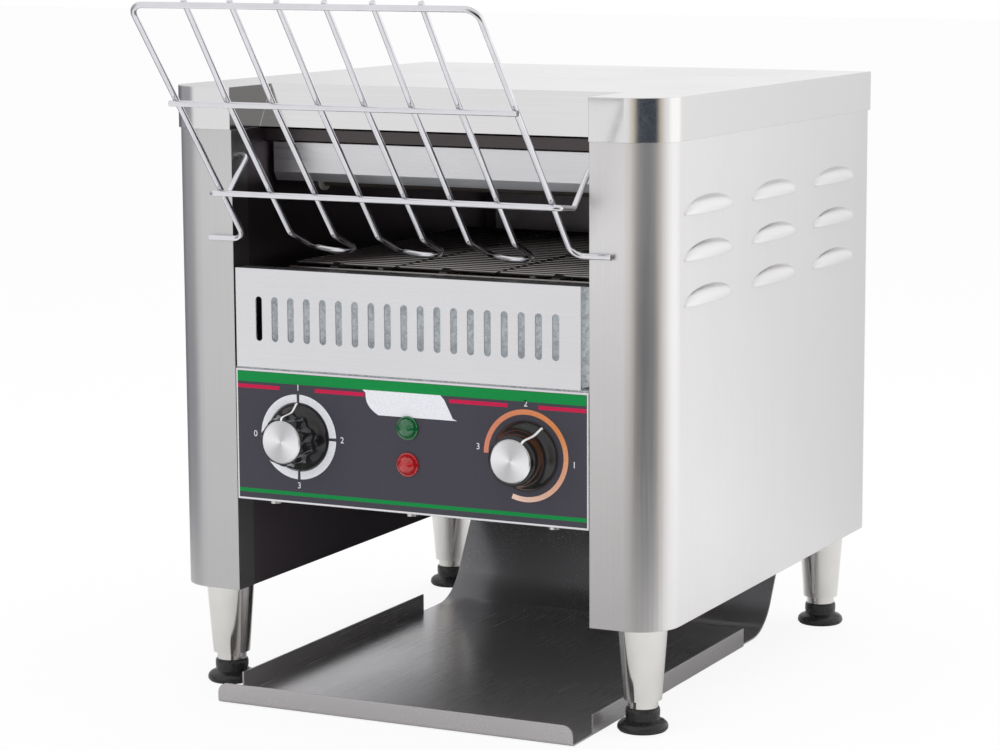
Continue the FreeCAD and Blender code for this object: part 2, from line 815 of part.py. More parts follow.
def control_box():
    pan = new_body("control_box")
    pad(pan, "YZ", f"-{OPENING}", f"2 * {OPENING}", [
        ("sheet_wall", FLOOR_LEVEL), ("box_depth", FLOOR_LEVEL), ("box_depth", LID_LEVEL),
        ("box_depth - sheet_wall", LID_LEVEL), ("box_depth - sheet_wall", f"{FLOOR_LEVEL} + sheet_wall"),
        ("sheet_wall", f"{FLOOR_LEVEL} + sheet_wall"),
    ])
    pocket(pan, "XY", FLOOR_LEVEL, "sheet_wall", ("circle", "fan_offset", "fan_back", "fan_bore"))
    keep(pan, "control_box")
    low = (f"-{OPENING}", "sheet_wall", LID_LEVEL)
    high = (OPENING, "box_depth", f"{LID_LEVEL} + sheet_wall")
    keep(box(low, high), "control_box_lid")


control_box()


# Sheets round the heating elements

HANGER_DEPTH = element_depth(1)


def chamber_sheets():
    ceiling = new_body("upper_reflector")
    top = f"({WALL_TOP} - ceiling_drop)"
    pad(ceiling, "YZ", f"-{OPENING}", f"2 * {OPENING}", [
        ("ceiling_front", f"{top} - ceiling_flange"), ("ceiling_front", top), (WALL_BACK, top),
        (WALL_BACK, f"{top} - sheet_wall"), ("ceiling_front + sheet_wall", f"{top} - sheet_wall"),
        ("ceiling_front + sheet_wall", f"{top} - ceiling_flange"),
    ])
    # A strap hangs from the ceiling and holds up the middle upper element
    strap = f"{top} - sheet_wall - (upper_element_level + element_radius + seam_gap)"
    pad(ceiling, "XY", "upper_element_level + element_radius + seam_gap", strap,
        rectangle("hanger_offset - 4 * sheet_wall", f"{HANGER_DEPTH} - sheet_wall",
                  "hanger_offset + 4 * sheet_wall", f"{HANGER_DEPTH} + sheet_wall"))
    keep(ceiling, "upper_reflector")

    plate = new_body("deflector_plate")
    pad(plate, "YZ", "-deflector_width / 2", "deflector_width", [
        ("deflector_front", "deflector_top"), ("deflector_front", "deflector_bend"),
        ("deflector_front + 3 * sheet_wall", "deflector_bottom"),
        ("deflector_front + 4 * sheet_wall", "deflector_bottom"),
        ("deflector_front + sheet_wall", "deflector_bend"),
        ("deflector_front + sheet_wall", "deflector_top - sheet_wall"),
        ("deflector_front + deflector_flange", "deflector_top - sheet_wall"),
        ("deflector_front + deflector_flange", "deflector_top"),
    ])
    # The flange is wider at its rear edge, where it is fixed to the inner walls
    pad(plate, "XY", "deflector_top - sheet_wall", "sheet_wall",
        rectangle(f"-{OPENING}", "deflector_front + deflector_flange / 2",
                  OPENING, "deflector_front + deflector_flange"))
    keep(plate, "deflector_plate")

    lower = new_body("lower_reflector")
    floor = f"({LID_LEVEL} + sheet_wall)"
    rear = "(box_depth - seam_gap)"
    pad(lower, "YZ", f"-{OPENING}", f"2 * {OPENING}", [
        ("reflector_front", floor), ("reflector_front", "reflector_level"), (rear, "reflector_level"),
        (rear, floor), (f"{rear} - sheet_wall", floor),
        (f"{rear} - sheet_wall", "reflector_level - sheet_wall"),
        ("reflector_front + sheet_wall", "reflector_level - sheet_wall"),
        ("reflector_front + sheet_wall", floor),
    ])
    keep(lower, "lower_reflector")


chamber_sheets()


# Heating elements: straight tubes through ceramic bushes in the inner walls

def heating_elements():
    reach = f"({WALL_OUT} + element_end)"
    tubes = []
    bushes = []
    for level in ("upper_element_level", SHAFT_LEVEL):
        for index in range(int(num("element_count"))):
            depth = element_depth(index)
            tubes.append(cylinder((f"-{reach}", depth, level), "X", f"2 * {reach}", "element_radius"))
            for sign in (-1, 1):
                start = span(sign, f"{OPENING} - 2 * sheet_wall", f"{OPENING} + bush_reach")[0]
                length = "bush_reach + 2 * sheet_wall"
                bush = cylinder((start, depth, level), "X", length, "bush_radius")
                bore = cylinder((start, depth, level), "X", length, "element_radius")
                bushes.append(cut(bush, [bore]))
    keep(group(tubes), "heating_elements")
    keep(group(bushes), "element_bushes")


heating_elements()


# Conveyor belt: cross rods on a closed path, joined by flat strands

def stadium(radius, y_low, y_high, level):
    """A closed wire of two straight runs and two half circles, in the plane x = 0."""
    up = Vector(0, 0, radius)
    front = Vector(0, y_low, level)
    back = Vector(0, y_high, level)
    edges = [
        Part.LineSegment(front + up, back + up).toShape(),
        Part.Arc(back + up, back + Vector(0, radius, 0), back - up).toShape(),
        Part.LineSegment(back - up, front - up).toShape(),
        Part.Arc(front - up, front - Vector(0, radius, 0), front + up).toShape(),
    ]
    return Part.Wire(edges)


def rod_places():
    radius = num(BELT_RADIUS)
    level = num(SHAFT_LEVEL)
    front = num("front_shaft_depth")
    back = num(REAR_SHAFT)
    teeth = int(num("belt_teeth"))
    places = []
    for bay in range(int(num("belt_bays")) + 1):
        for side in (-1, 1):
            places.append((front + bay * num("rod_pitch"), level + side * radius))
    for step in range(1, teeth // 2):
        angle = 2 * math.pi * step / teeth
        places.append((back + radius * math.sin(angle), level + radius * math.cos(angle)))
        places.append((front - radius * math.sin(angle), level + radius * math.cos(angle)))
    return places


def conveyor_belt():
    radius = num(BELT_RADIUS)
    level = num(SHAFT_LEVEL)
    front = num("front_shaft_depth")
    back = num(REAR_SHAFT)
    width = num("belt_width")
    half = num("strand_thickness") / 2
    rods = []
    for y, z in rod_places():
        rods.append(Part.makeCylinder(num("rod_radius"), width, Vector(-width / 2, y, z), Vector(1, 0, 0)))
    strands = []
    count = int(num("strand_count"))
    strand_width = 2 * half
    for index in range(count):
        x = (width - 3 * strand_width) * (index / (count - 1) - 0.5) - strand_width / 2
        outer = Part.Face(stadium(radius + half, front, back, level))
        inner = Part.Face(stadium(radius - half, front, back, level))
        ring = outer.cut(inner).extrude(Vector(strand_width, 0, 0))
        ring.translate(Vector(x, 0, 0))
        strands.append(ring)
    free_shape("conveyor_belt", strands[0].multiFuse(strands[1:] + rods))


conveyor_belt()


# Rails under the upper run, carried on two cross bars between the inner walls

def belt_rails():
    level = "(belt_level - rod_radius - rail_gap - rail_radius)"
    low = f"({level} - 2 * rail_radius + weld_sink)"
    start = "front_shaft_depth + rod_pitch"
    length = "(belt_bays - 2) * rod_pitch"
    pieces = []
    for sign in (-1, 1):
        pieces.append(cylinder((times(sign, "rail_offset"), start, level), "Y", length, "rail_radius"))
    for index in (0, 1):
        depth = f"{element_depth(index)} + element_spacing / 2"
        pieces.append(cylinder((f"-{OPENING}", depth, low), "X", f"2 * {OPENING}", "rail_radius"))
    keep(fuse(pieces), "belt_rails")


belt_rails()


# Belt shafts with their sprockets, turning in flanged bearings

def toothed_disc(radius, teeth, gap_radius, tip, bore, thickness, x, y, z, phase):
    """A sprocket on an axis along x, with round gaps that open outwards, one at the phase angle."""
    start = Vector(x - thickness / 2, y, z)
    along = Vector(1, 0, 0)
    disc = Part.makeCylinder(radius + tip, thickness, start, along)
    tools = [Part.makeCylinder(bore, thickness, start, along)]
    for tooth in range(teeth):
        angle = phase + 2 * math.pi * tooth / teeth
        spoke = Vector(0, math.cos(angle), math.sin(angle))
        tools.append(Part.makeCylinder(gap_radius, thickness, start + spoke * radius, along))
        wide = gap_radius + num("tooth_relief")
        tools.append(Part.makeCylinder(wide, thickness, start + spoke * (radius + tip), along))
    return disc.cut(tools)


def belt_shaft(name, depth, right_reach):
    left = f"-({WALL_OUT} + bearing_lip)"
    length = f"{WALL_OUT} + bearing_lip + {right_reach}"
    keep(cylinder((left, depth, SHAFT_LEVEL), "X", length, "shaft_radius"), name + "_belt_shaft")
    discs = []
    for side in (-1, 0, 1):
        discs.append(toothed_disc(
            num(BELT_RADIUS), int(num("belt_teeth")), num("rod_radius + rail_gap"), num("rod_radius"),
            num("shaft_radius"), num("sprocket_thickness"), side * num("sprocket_offset"),
            num(depth), num(SHAFT_LEVEL), math.pi / 2))
    free_shape(name + "_belt_sprockets", Part.Compound(discs))


belt_shaft("front", "front_shaft_depth", f"({WALL_OUT} + bearing_lip)")
belt_shaft("rear", REAR_SHAFT, "(chain_offset + tooth_width)")


def shaft_bearings():
    bearings = []
    for depth in ("front_shaft_depth", REAR_SHAFT):
        for sign in (-1, 1):
            start = span(sign, OPENING, WALL_OUT)[0]
            sleeve = cylinder((start, depth, SHAFT_LEVEL), "X", "sheet_wall", "bearing_radius")
            start = span(sign, WALL_OUT, f"{WALL_OUT} + bearing_lip")[0]
            lip = cylinder((start, depth, SHAFT_LEVEL), "X", "bearing_lip", "bearing_flange")
            start = span(sign, OPENING, f"{WALL_OUT} + bearing_lip")[0]
            bore = cylinder((start, depth, SHAFT_LEVEL), "X", "sheet_wall + bearing_lip", HOLE)
            bearings.append(cut(fuse([sleeve, lip]), [bore]))
    keep(group(bearings), "shaft_bearings")


shaft_bearings()


def chain_points():
    """Roller centres in the plane of the chain, from the upper run's end at the rear sprocket."""
    small = num(pitch_radius("motor_teeth"))
    large = num(pitch_radius("drive_teeth"))
    pitch = num("chain_pitch")
    rear = Vector(0, num(REAR_SHAFT), num(SHAFT_LEVEL))
    motor = Vector(0, num(MOTOR_DEPTH), num(MOTOR_LEVEL))
    heading = math.atan2(motor.z - rear.z, motor.y - rear.y)
    lean = math.asin((large - small) / CHAIN_REACH)
    straight = CHAIN_REACH * math.cos(lean) / pitch
    motor_turn = 2 * math.pi / num("motor_teeth")
    drive_turn = 2 * math.pi / num("drive_teeth")
    motor_part = (math.pi - 2 * lean) / motor_turn
    drive_part = (math.pi + 2 * lean) / drive_turn
    upper = heading - math.pi / 2 + lean
    lower = heading + math.pi / 2 - lean

    def spoke(centre, radius, angle):
        return centre + Vector(0, radius * math.cos(angle), radius * math.sin(angle))

    points = []
    for link in range(CHAIN_LINKS):
        t = float(link)
        if t < straight:
            start = spoke(rear, large, upper)
            end = spoke(motor, small, upper)
            points.append(start + (end - start) * (t / straight))
            continue
        t -= straight
        if t < motor_part:
            points.append(spoke(motor, small, upper + t * motor_turn))
            continue
        t -= motor_part
        if t < straight:
            start = spoke(motor, small, lower)
            end = spoke(rear, large, lower)
            points.append(start + (end - start) * (t / straight))
            continue
        t -= straight
        points.append(spoke(rear, large, lower + t * drive_turn))
    return points, rear, motor, upper, lower, small, large


def phase_on(points, centre, radius):
    """The angle of a roller that lies on a sprocket."""
    nearest = min(points, key=lambda point: abs((point - centre).Length - radius))
    return math.atan2(nearest.z - centre.z, nearest.y - centre.y)


def chain_band(centre_large, centre_small, large, small, upper, lower):
    """The outline of the link plates, grown or shrunk from the path of the rollers."""
    def spoke(centre, radius, angle):
        return centre + Vector(0, radius * math.cos(angle), radius * math.sin(angle))

    heading = (upper + lower) / 2
    edges = [
        Part.LineSegment(spoke(centre_large, large, upper), spoke(centre_small, small, upper)).toShape(),
        Part.Arc(spoke(centre_small, small, upper), spoke(centre_small, small, heading),
                 spoke(centre_small, small, lower)).toShape(),
        Part.LineSegment(spoke(centre_small, small, lower), spoke(centre_large, large, lower)).toShape(),
        Part.Arc(spoke(centre_large, large, lower), spoke(centre_large, large, heading + math.pi),
                 spoke(centre_large, large, upper)).toShape(),
    ]
    return Part.Face(Part.Wire(edges))


def drive_chain():
    points, rear, motor, upper, lower, small, large = chain_points()
    half = num("plate_half")
    width = num("roller_width")
    plate = num("plate_thickness")
    x = num("chain_offset")
    outer = chain_band(rear, motor, large + half, small + half, upper, lower)
    inner = chain_band(rear, motor, large - half, small - half, upper, lower)
    ring = outer.cut(inner)
    pieces = []
    for side in (-1, 1):
        band = ring.extrude(Vector(plate, 0, 0))
        band.translate(Vector(x + side * (width + plate) / 2 - plate / 2, 0, 0))
        pieces.append(band)
    for point in points:
        start = Vector(x - width / 2 - plate / 2, point.y, point.z)
        pieces.append(Part.makeCylinder(num("roller_radius"), width + plate, start, Vector(1, 0, 0)))
    free_shape("drive_chain", pieces[0].multiFuse(pieces[1:]))
    gap = num("roller_radius + seam_gap")
    tip = num("roller_radius / 2")
    thickness = num("tooth_width")
    drive = toothed_disc(large, int(num("drive_teeth")), gap, tip, num("shaft_radius"), thickness,
                         x, rear.y, rear.z, phase_on(points, rear, large))
    free_shape("rear_drive_sprocket", drive)
    output = toothed_disc(small, int(num("motor_teeth")), gap, tip, num("motor_shaft_radius") / 2,
                          thickness, x, motor.y, motor.z, phase_on(points, motor, small))
    start = Vector(num(f"{WALL_OUT} - gearbox_length / 2"), motor.y, motor.z)
    reach = x + thickness / 2 - start.x
    shaft = Part.makeCylinder(num("motor_shaft_radius"), reach, start, Vector(1, 0, 0))
    free_shape("motor_output", output.fuse(shaft))


drive_chain()


# Gear motor on the inside of the right inner wall

def gear_motor():
    face = OPENING
    low = (f"{face} - gearbox_length", f"{MOTOR_DEPTH} - gearbox_half", f"{MOTOR_LEVEL} - gearbox_half")
    high = (face, f"{MOTOR_DEPTH} + gearbox_half", f"{MOTOR_LEVEL} + gearbox_half")
    can_start = (f"{face} - gearbox_length - motor_length", MOTOR_DEPTH, MOTOR_LEVEL)
    can = cylinder(can_start, "X", "motor_length", "motor_radius")
    hub = cylinder((face, MOTOR_DEPTH, MOTOR_LEVEL), "X", "2 * sheet_wall", "bearing_radius")
    solid = fuse([box(low, high), can, hub])
    start = f"{WALL_OUT} - gearbox_length / 2 - seam_gap"
    bore = cylinder((start, MOTOR_DEPTH, MOTOR_LEVEL), "X", "gearbox_length",
                    "motor_shaft_radius + running_clearance")
    keep(cut(solid, [bore]), "gear_motor")


gear_motor()


# Cooling fan over the opening in the floor of the control box

FAN_LOW = f"({FLOOR_LEVEL} + sheet_wall)"
FAN_PIN = "fan_hub / 5"


def cooling_fan():
    low = ("fan_offset - fan_side / 2", "fan_back - fan_side / 2", FAN_LOW)
    high = ("fan_offset + fan_side / 2", "fan_back + fan_side / 2", f"{FAN_LOW} + fan_depth")
    centre = ("fan_offset", "fan_back", FAN_LOW)
    bore = cylinder(centre, "Z", "fan_depth", "fan_bore")
    shroud = cut(box(low, high), [bore])
    strut = "2 * sheet_wall"
    bars = [
        box(("fan_offset - fan_bore - sheet_wall", f"fan_back - {strut}", FAN_LOW),
            ("fan_offset + fan_bore + sheet_wall", f"fan_back + {strut}", f"{FAN_LOW} + {strut}")),
        box((f"fan_offset - {strut}", "fan_back - fan_bore - sheet_wall", FAN_LOW),
            (f"fan_offset + {strut}", "fan_back + fan_bore + sheet_wall", f"{FAN_LOW} + {strut}")),
        cylinder(centre, "Z", strut, "fan_hub"),
        cylinder(centre, "Z", "fan_depth / 2", FAN_PIN),
    ]
    keep(fuse([shroud] + bars), "fan_frame")

    # The rotor's cup turns on the pin of the frame
    x = num("fan_offset")
    y = num("fan_back")
    base = num(f"{FAN_LOW} + {strut} + seam_gap")
    height = num(f"fan_depth - 2 * seam_gap - {strut}")
    hub = Part.makeCylinder(num("fan_hub"), height, Vector(x, y, base))
    pin_hole = num(f"fan_depth / 2 - {strut} + seam_gap")
    hub = hub.cut(Part.makeCylinder(num(f"{FAN_PIN} + running_clearance"), pin_hole, Vector(x, y, base)))
    blades = []
    reach = num("fan_bore - 5 * seam_gap")
    inner = num("fan_hub - sheet_wall")
    for index in range(int(num("fan_blades"))):
        turn = 360 * index / num("fan_blades")
        blade = Part.makeBox(reach - inner, num("sheet_wall"), height * 1.2)
        blade.translate(Vector(inner, -num("sheet_wall") / 2, -height * 0.6))
        blade.rotate(Vector(), Vector(1, 0, 0), num("blade_angle"))
        blade.rotate(Vector(), Vector(0, 0, 1), turn)
        blade.translate(Vector(x, y, base + height / 2))
        blades.append(blade)
    tube = Part.makeCylinder(reach, height, Vector(x, y, base))
    rotor = hub.fuse(Part.Compound(blades).common(tube).Solids)
    free_shape("fan_rotor", rotor)

    # A guard of rings and cross wires under the floor
    wire = num("rod_radius")
    level = num(f"{FLOOR_LEVEL}") - wire
    rings = []
    for share in (0.25, 0.5, 0.75, 1.0):
        rings.append(Part.makeTorus(share * (num("fan_bore") + wire), wire, Vector(x, y, level)))
    for angle in (45, 135):
        heading = Vector(math.cos(math.radians(angle)), math.sin(math.radians(angle)), 0)
        length = 2 * (num("fan_bore") + 2 * wire)
        start = Vector(x, y, level) - heading * (length / 2)
        rings.append(Part.makeCylinder(wire * 0.8, length, start, heading))
    free_shape("fan_guard", rings[0].multiFuse(rings[1:]))


cooling_fan()


# Rotary controls: the switch bodies stay, the spindles turn with the knobs

def rotary_control(name, offset, housing):
    front = "sheet_wall"
    bore = cylinder((offset, front, "knob_level"), "Y", "switch_depth - 2 * sheet_wall", KNOB_HOLE)
    keep(cut(housing, [bore]), name)


switch_low = ("selector_offset - switch_side / 2", "sheet_wall", "knob_level - switch_side / 2")
switch_high = ("selector_offset + switch_side / 2", "switch_depth", "knob_level + switch_side / 2")
rotary_control("selector_switch", "selector_offset", box(switch_low, switch_high))
rotary_control("speed_control", "speed_offset",
               cylinder(("speed_offset", "sheet_wall", "knob_level"), "Y", "switch_depth - sheet_wall",
                        "dial_radius"))


def knob(name, offset, flutes):
    """A knob on its spindle, with a spun metal cap. Distances run forwards from the panel."""
    start = "switch_depth - 2 * sheet_wall"
    keep(cylinder((offset, f"-spindle_reach - {KNOB_BACK}", "knob_level"), "Y",
                  f"spindle_reach + {KNOB_BACK} + {start}", "spindle_radius"), name + "_spindle")
    at = (offset, f"-{KNOB_BACK}", "knob_level")
    body = revolve(name + "_knob", at, TURNS["-Y"], [
        ("spindle_radius", "0"), ("knob_skirt", "0"), ("knob_skirt", "knob_skirt_height / 2"),
        ("knob_grip", "knob_skirt_height"), ("knob_top", "knob_height"),
        ("cap_radius", "knob_height"), ("cap_radius", "knob_height - sheet_wall"),
        ("0", "knob_height - sheet_wall"), ("0", "spindle_reach"), ("spindle_radius", "spindle_reach"),
    ])
    if flutes:
        groove = pocket(body, "XY", "knob_skirt_height", "knob_height",
                        ("circle", "knob_grip + 2 * sheet_wall", "0", "3 * sheet_wall"))
        ring = body.newObject("PartDesign::PolarPattern", name + "_flutes")
        ring.Originals = [groove]
        ring.Axis = (groove.Profile[0], ["N_Axis"])
        ring.Angle = 360
        bind(ring, "Occurrences", "knob_flutes")
        body.Tip = ring
    keep(body, name + "_knob")
    cap_at = (offset, f"-{KNOB_BACK} - knob_height + sheet_wall", "knob_level")
    cap = revolve(name + "_knob_cap", cap_at, TURNS["-Y"], [
        ("0", "0"), ("cap_radius", "0"), ("cap_radius", "cap_height - cap_bevel"),
        ("cap_radius - cap_bevel", "cap_height"), ("0", "cap_height"),
    ])
    keep(cap, name + "_knob_cap")


KNOB_BACK = "(overlay_thickness + knob_gap)"
knob("selector", "selector_offset", True)
knob("speed", "speed_offset", False)


def lamp(name, level):
    at = ("0", "-overlay_thickness", level)
    body = revolve(name, at, TURNS["-Y"], [
        ("0", "-lamp_depth"), ("lamp_radius - seam_gap", "-lamp_depth"), ("lamp_radius - seam_gap", "0"),
        ("bezel_radius", "0"), ("bezel_radius", "bezel_height / 2"), ("bezel_radius * 0.92", "bezel_height"),
        ("lamp_radius", "bezel_height"), ("lamp_radius * 0.86", "lens_height * 0.65"),
        ("lamp_radius * 0.5", "lens_height * 0.93"), ("0", "lens_height"),
    ])
    keep(body, name)


lamp("power_lamp", "lamp_upper")
lamp("heat_lamp", "lamp_lower")


# Board of the speed control on posts

def control_board():
    left = f"(board_left - {OPENING})"
    right = f"({left} + board_width)"
    back = "(board_front + board_length)"
    level = f"({FAN_LOW} + board_post)"
    top = f"({level} + board_thickness)"
    post = "(board_post / 2)"
    pieces = [box((left, "board_front", level), (right, back, top))]
    for x in (f"{left} + 2 * {post}", f"{right} - 2 * {post}"):
        for y in (f"board_front + 2 * {post}", f"{back} - 2 * {post}"):
            pieces.append(cylinder((x, y, FAN_LOW), "Z", f"board_post + board_thickness + {post}", post))
    pieces.append(box((f"{left} + board_width / 5", f"{back} - board_length / 3", top),
                      (f"{right} - board_width / 5", f"{back} - board_length / 9", f"{top} + board_part_height")))
    pieces.append(cylinder((f"{left} + board_width / 3", "board_front + board_length / 3", top), "Z",
                           "board_part_height * 0.8", "board_width / 7"))
    pieces.append(box((f"{right} - board_width / 3", "board_front + board_length / 4", top),
                      (f"{right} - board_width / 9", "board_front + board_length / 2.4",
                       f"{top} + board_part_height * 0.6")))
    keep(fuse(pieces), "control_board")


control_board()


# Legs with their levelling feet

STUD = "(stud_radius - seam_gap)"
FOOT_TOP = "(neck_bottom - seam_gap)"


def leg(name, x, depth):
    at = (x, depth, "0")
    body = revolve(name + "_leg", at, TURNS["Z"], [
        (f"{STUD} + running_clearance", "neck_bottom"), ("neck_radius", "neck_bottom"),
        ("neck_radius", "leg_taper_bottom"), ("leg_bottom_radius", "leg_taper_bottom"),
        ("leg_top_radius", "body_bottom"), (STUD, "body_bottom"),
        (STUD, "body_bottom + base_wall + 2 * stud_radius"),
        ("0", "body_bottom + base_wall + 2 * stud_radius"),
        ("0", "neck_bottom + stud_length + sheet_wall"),
        (f"{STUD} + running_clearance", "neck_bottom + stud_length + sheet_wall"),
    ])
    keep(body, name + "_leg")
    foot = revolve(name + "_foot", at, TURNS["Z"], [
        ("0", "0"), ("flange_radius - sheet_wall", "0"), ("flange_radius", "sheet_wall"),
        ("flange_radius", "collar_bottom - 2 * sheet_wall"), ("collar_radius + sheet_wall", "collar_bottom"),
        ("collar_radius", "collar_bottom + sheet_wall"), ("collar_radius", FOOT_TOP), (STUD, FOOT_TOP),
        (STUD, "neck_bottom + stud_length"), ("0", "neck_bottom + stud_length"),
    ])
    keep(foot, name + "_foot")


for side_name, side_sign in (("left", -1), ("right", 1)):
    for row_name, row_depth in zip(("front", "rear"), LEG_DEPTHS):
        leg(row_name + "_" + side_name, times(side_sign, LEG_X), row_depth)


# Curves through corners rounded to given radii

def rounded(corners, radii, closed=False):
    """Edges along a chain of points, each inner corner replaced by an arc."""
    count = len(corners)
    starts = []
    ends = []
    arcs = []
    for i, (corner, radius) in enumerate(zip(corners, radii)):
        if radius == 0:
            starts.append(corner)
            ends.append(corner)
            arcs.append(None)
            continue
        into = (corner - corners[i - 1]).normalize()
        out = (corners[(i + 1) % count] - corner).normalize()
        half = into.getAngle(out) / 2
        reach = radius * math.tan(half)
        first = corner - into * reach
        last = corner + out * reach
        inward = (out - into).normalize()
        middle = corner + inward * (radius / math.cos(half) - radius)
        starts.append(first)
        ends.append(last)
        arcs.append(Part.Arc(first, middle, last).toShape())
    edges = []
    for i in range(count if closed else count - 1):
        j = (i + 1) % count
        if (starts[j] - ends[i]).Length > num("sheet_wall") / 1000:
            edges.append(Part.LineSegment(ends[i], starts[j]).toShape())
        if arcs[j]:
            edges.append(arcs[j])
    return edges


def wire_rod(corners, radii):
    """A round wire bent along a chain of points."""
    path = Part.Wire(rounded(corners, radii))
    ring = Part.Circle(corners[0], corners[1] - corners[0], num("wire_radius"))
    return path.makePipeShell([Part.Wire(ring.toShape())], True, False, 1)


def sheet_strip(outline, radii, wall, half_width):
    """A sheet bent along a chain of (y, z) points, thickened to the left of its path."""
    path = [Vector(0, y, z) for y, z in outline]
    count = len(path)
    shifted = []
    shifted_radii = []
    for i, corner in enumerate(path):
        into = (corner - path[i - 1]).normalize() if i else None
        out = (path[i + 1] - corner).normalize() if i < count - 1 else None
        into = into or out
        out = out or into
        left_in = Vector(0, -into.z, into.y)
        left_out = Vector(0, -out.z, out.y)
        bisector = (left_in + left_out).normalize()
        shifted.append(corner + bisector * (wall / bisector.dot(left_in)))
        turn = into.y * out.z - into.z * out.y
        change = 0 if radii[i] == 0 else (-wall if turn > 0 else wall)
        shifted_radii.append(radii[i] + change)
    outer = rounded(path, radii)
    inner = rounded(shifted, shifted_radii)
    caps = [Part.LineSegment(path[-1], shifted[-1]).toShape(), Part.LineSegment(shifted[0], path[0]).toShape()]
    face = Part.Face(Part.Wire(Part.__sortEdges__(outer + inner + caps)))
    strip = face.extrude(Vector(2 * half_width, 0, 0))
    strip.translate(Vector(-half_width, 0, 0))
    return strip


# Sliding tray with its raised chute at the back

def slide_tray():
    wall = num("tray_wall")
    low = num("tray_lift")
    front = -num("tray_front")
    slope = math.radians(num("tray_slope"))
    bend = num("tray_bend_radius")
    back = num(f"{BACK_IN} - tray_clearance")
    climb = num("chute_climb")
    corner = back - climb / math.tan(slope)
    path = [(front, num("tray_lip")), (front, low), (corner, low), (back, low + climb),
            (back, num("tray_top"))]
    sheet = sheet_strip(path, [0, 2 * wall, bend, 6 * wall, 0], wall, num("tray_width / 2"))
    tall = num("tray_top + tray_lip")
    narrow = num(f"{OPENING} - tray_clearance")
    half = num("tray_width / 2")
    trims = []
    pieces = [sheet]
    start = num("tray_side_front")
    end = corner - bend * math.tan(slope / 2) - num("tray_side_gap")
    for sign in (-1, 1):
        inner = narrow if sign > 0 else -narrow - half
        trims.append(Part.makeBox(half, 2 * tall, tall, Vector(inner, end, -wall)))
        x = half - wall if sign > 0 else -half
        side = Part.makeBox(wall, end - start, num("tray_lip") - low, Vector(x, start, low))
        pieces.append(side)
        # The front corners of the lip are rounded off
        radius = num("tray_lip / 2")
        centre = Vector(sign * (half - radius), front - tall, num("tray_lip") - radius)
        quarter = Part.makeBox(radius, tall + 3 * wall, radius, centre if sign > 0 else centre - Vector(radius))
        quarter = quarter.cut(Part.makeCylinder(radius, tall + 3 * wall, centre, Vector(0, 1, 0)))
        trims.append(quarter)
    tray = sheet.cut(trims).multiFuse(pieces[1:])
    free_shape("slide_tray", tray)


slide_tray()


# Bread rack: its wires hang on the ends of the lower rod, which turn in the pillars

def rack_line(level, offset=0):
    """A point of the leaning plane of the rack at a level, moved off the plane towards the front."""
    hook = Vector(0, -num("wire_radius + hook_gap"), num("hook_level"))
    top = Vector(0, -num("rack_reach - wire_radius"), num("rack_top - wire_radius"))
    along = (top - hook).normalize()
    normal = Vector(0, -along.z, along.y)
    share = (level - hook.z) / (top.z - hook.z)
    return hook + (top - hook) * share + normal * offset


def bread_rack():
    half = num("rack_width / 2")
    bend = num("rack_corner")
    layer = num("2 * wire_radius - weld_sink")
    hook = rack_line(num("hook_level"))
    top = rack_line(num("rack_top - wire_radius"))

    def across(sign, point, x):
        return Vector(sign * x, point.y, point.z)

    reach = num("hook_reach")
    frame = [across(-1, hook, reach), across(-1, hook, half), across(-1, top, half),
             across(1, top, half), across(1, hook, half), across(1, hook, reach)]
    free_shape("rack_frame_wire", wire_rod(frame, [0, bend, bend, bend, bend, 0]))

    cross = rack_line(num("cross_level"), layer)
    length = num("rack_width + 2 * rod_overhang")
    rod = Part.makeCylinder(num("wire_radius"), length, Vector(-length / 2, cross.y, cross.z), Vector(1, 0, 0))
    free_shape("rack_cross_rod", rod)

    low = rack_line(num("hanger_level"), layer)
    pivot = Vector(0, num("pivot_depth"), num("pivot_level"))
    corner = Vector(0, -num("hanger_bend_depth"), num("hanger_bend_level"))
    side = half + num("2 * rod_overhang")
    end = num(f"{WALL_OUT} + pivot_reach")
    hanger = [across(-1, pivot, end), across(-1, pivot, side), across(-1, corner, side), across(-1, low, side),
              across(1, low, side), across(1, corner, side), across(1, pivot, side), across(1, pivot, end)]
    turn = num("2 * wire_radius")
    free_shape("rack_hanger_wire", wire_rod(hanger, [0, turn, turn, turn, turn, turn, turn, 0]))

    spacing = num("guide_spacing")
    stub = rack_line(num("rack_top - wire_radius / 2"), -layer)
    middle = rack_line(num("cross_level"))
    knee = rack_line(num("guide_bend_level"))
    tip = Vector(0, num("guide_tip_depth"), num("guide_tip_level"))
    loops = []
    for index in (-1, 0, 1):
        centre = 2 * index * spacing
        down = [Vector(centre - spacing / 2, p.y, p.z) for p in (stub, middle, knee, tip)]
        rise = [Vector(centre + spacing / 2, p.y, p.z) for p in (tip, knee, middle, stub)]
        radius = spacing / 2 - num("weld_sink") / 10
        bends = [0, 10 * turn, 2 * turn, radius, radius, 2 * turn, 10 * turn, 0]
        loops.append(wire_rod(down + rise, bends))
    free_shape("rack_guide_wires", Part.Compound(loops))


bread_rack()


# Cable gland in the back panel, and the screws of the panels

gland_at = ("-gland_offset", "body_depth", "gland_level")
gland = revolve("cable_gland", gland_at, TURNS["Y"], [
    ("gland_bore", "-4 * sheet_wall"), ("gland_radius", "-4 * sheet_wall"), ("gland_radius", "-sheet_wall"),
    ("gland_neck", "-sheet_wall"), ("gland_neck", "0"), ("gland_radius", "0"),
    ("gland_radius", "gland_reach * 0.5"), ("gland_nut", "gland_reach * 0.6"),
    ("gland_tip", "gland_reach"), ("gland_bore", "gland_reach"),
])
keep(gland, "cable_gland")


# Heights of the screws of the back panel, as shares of its height
BACK_SCREW_SHARES = (0.06, 0.47, 0.88)


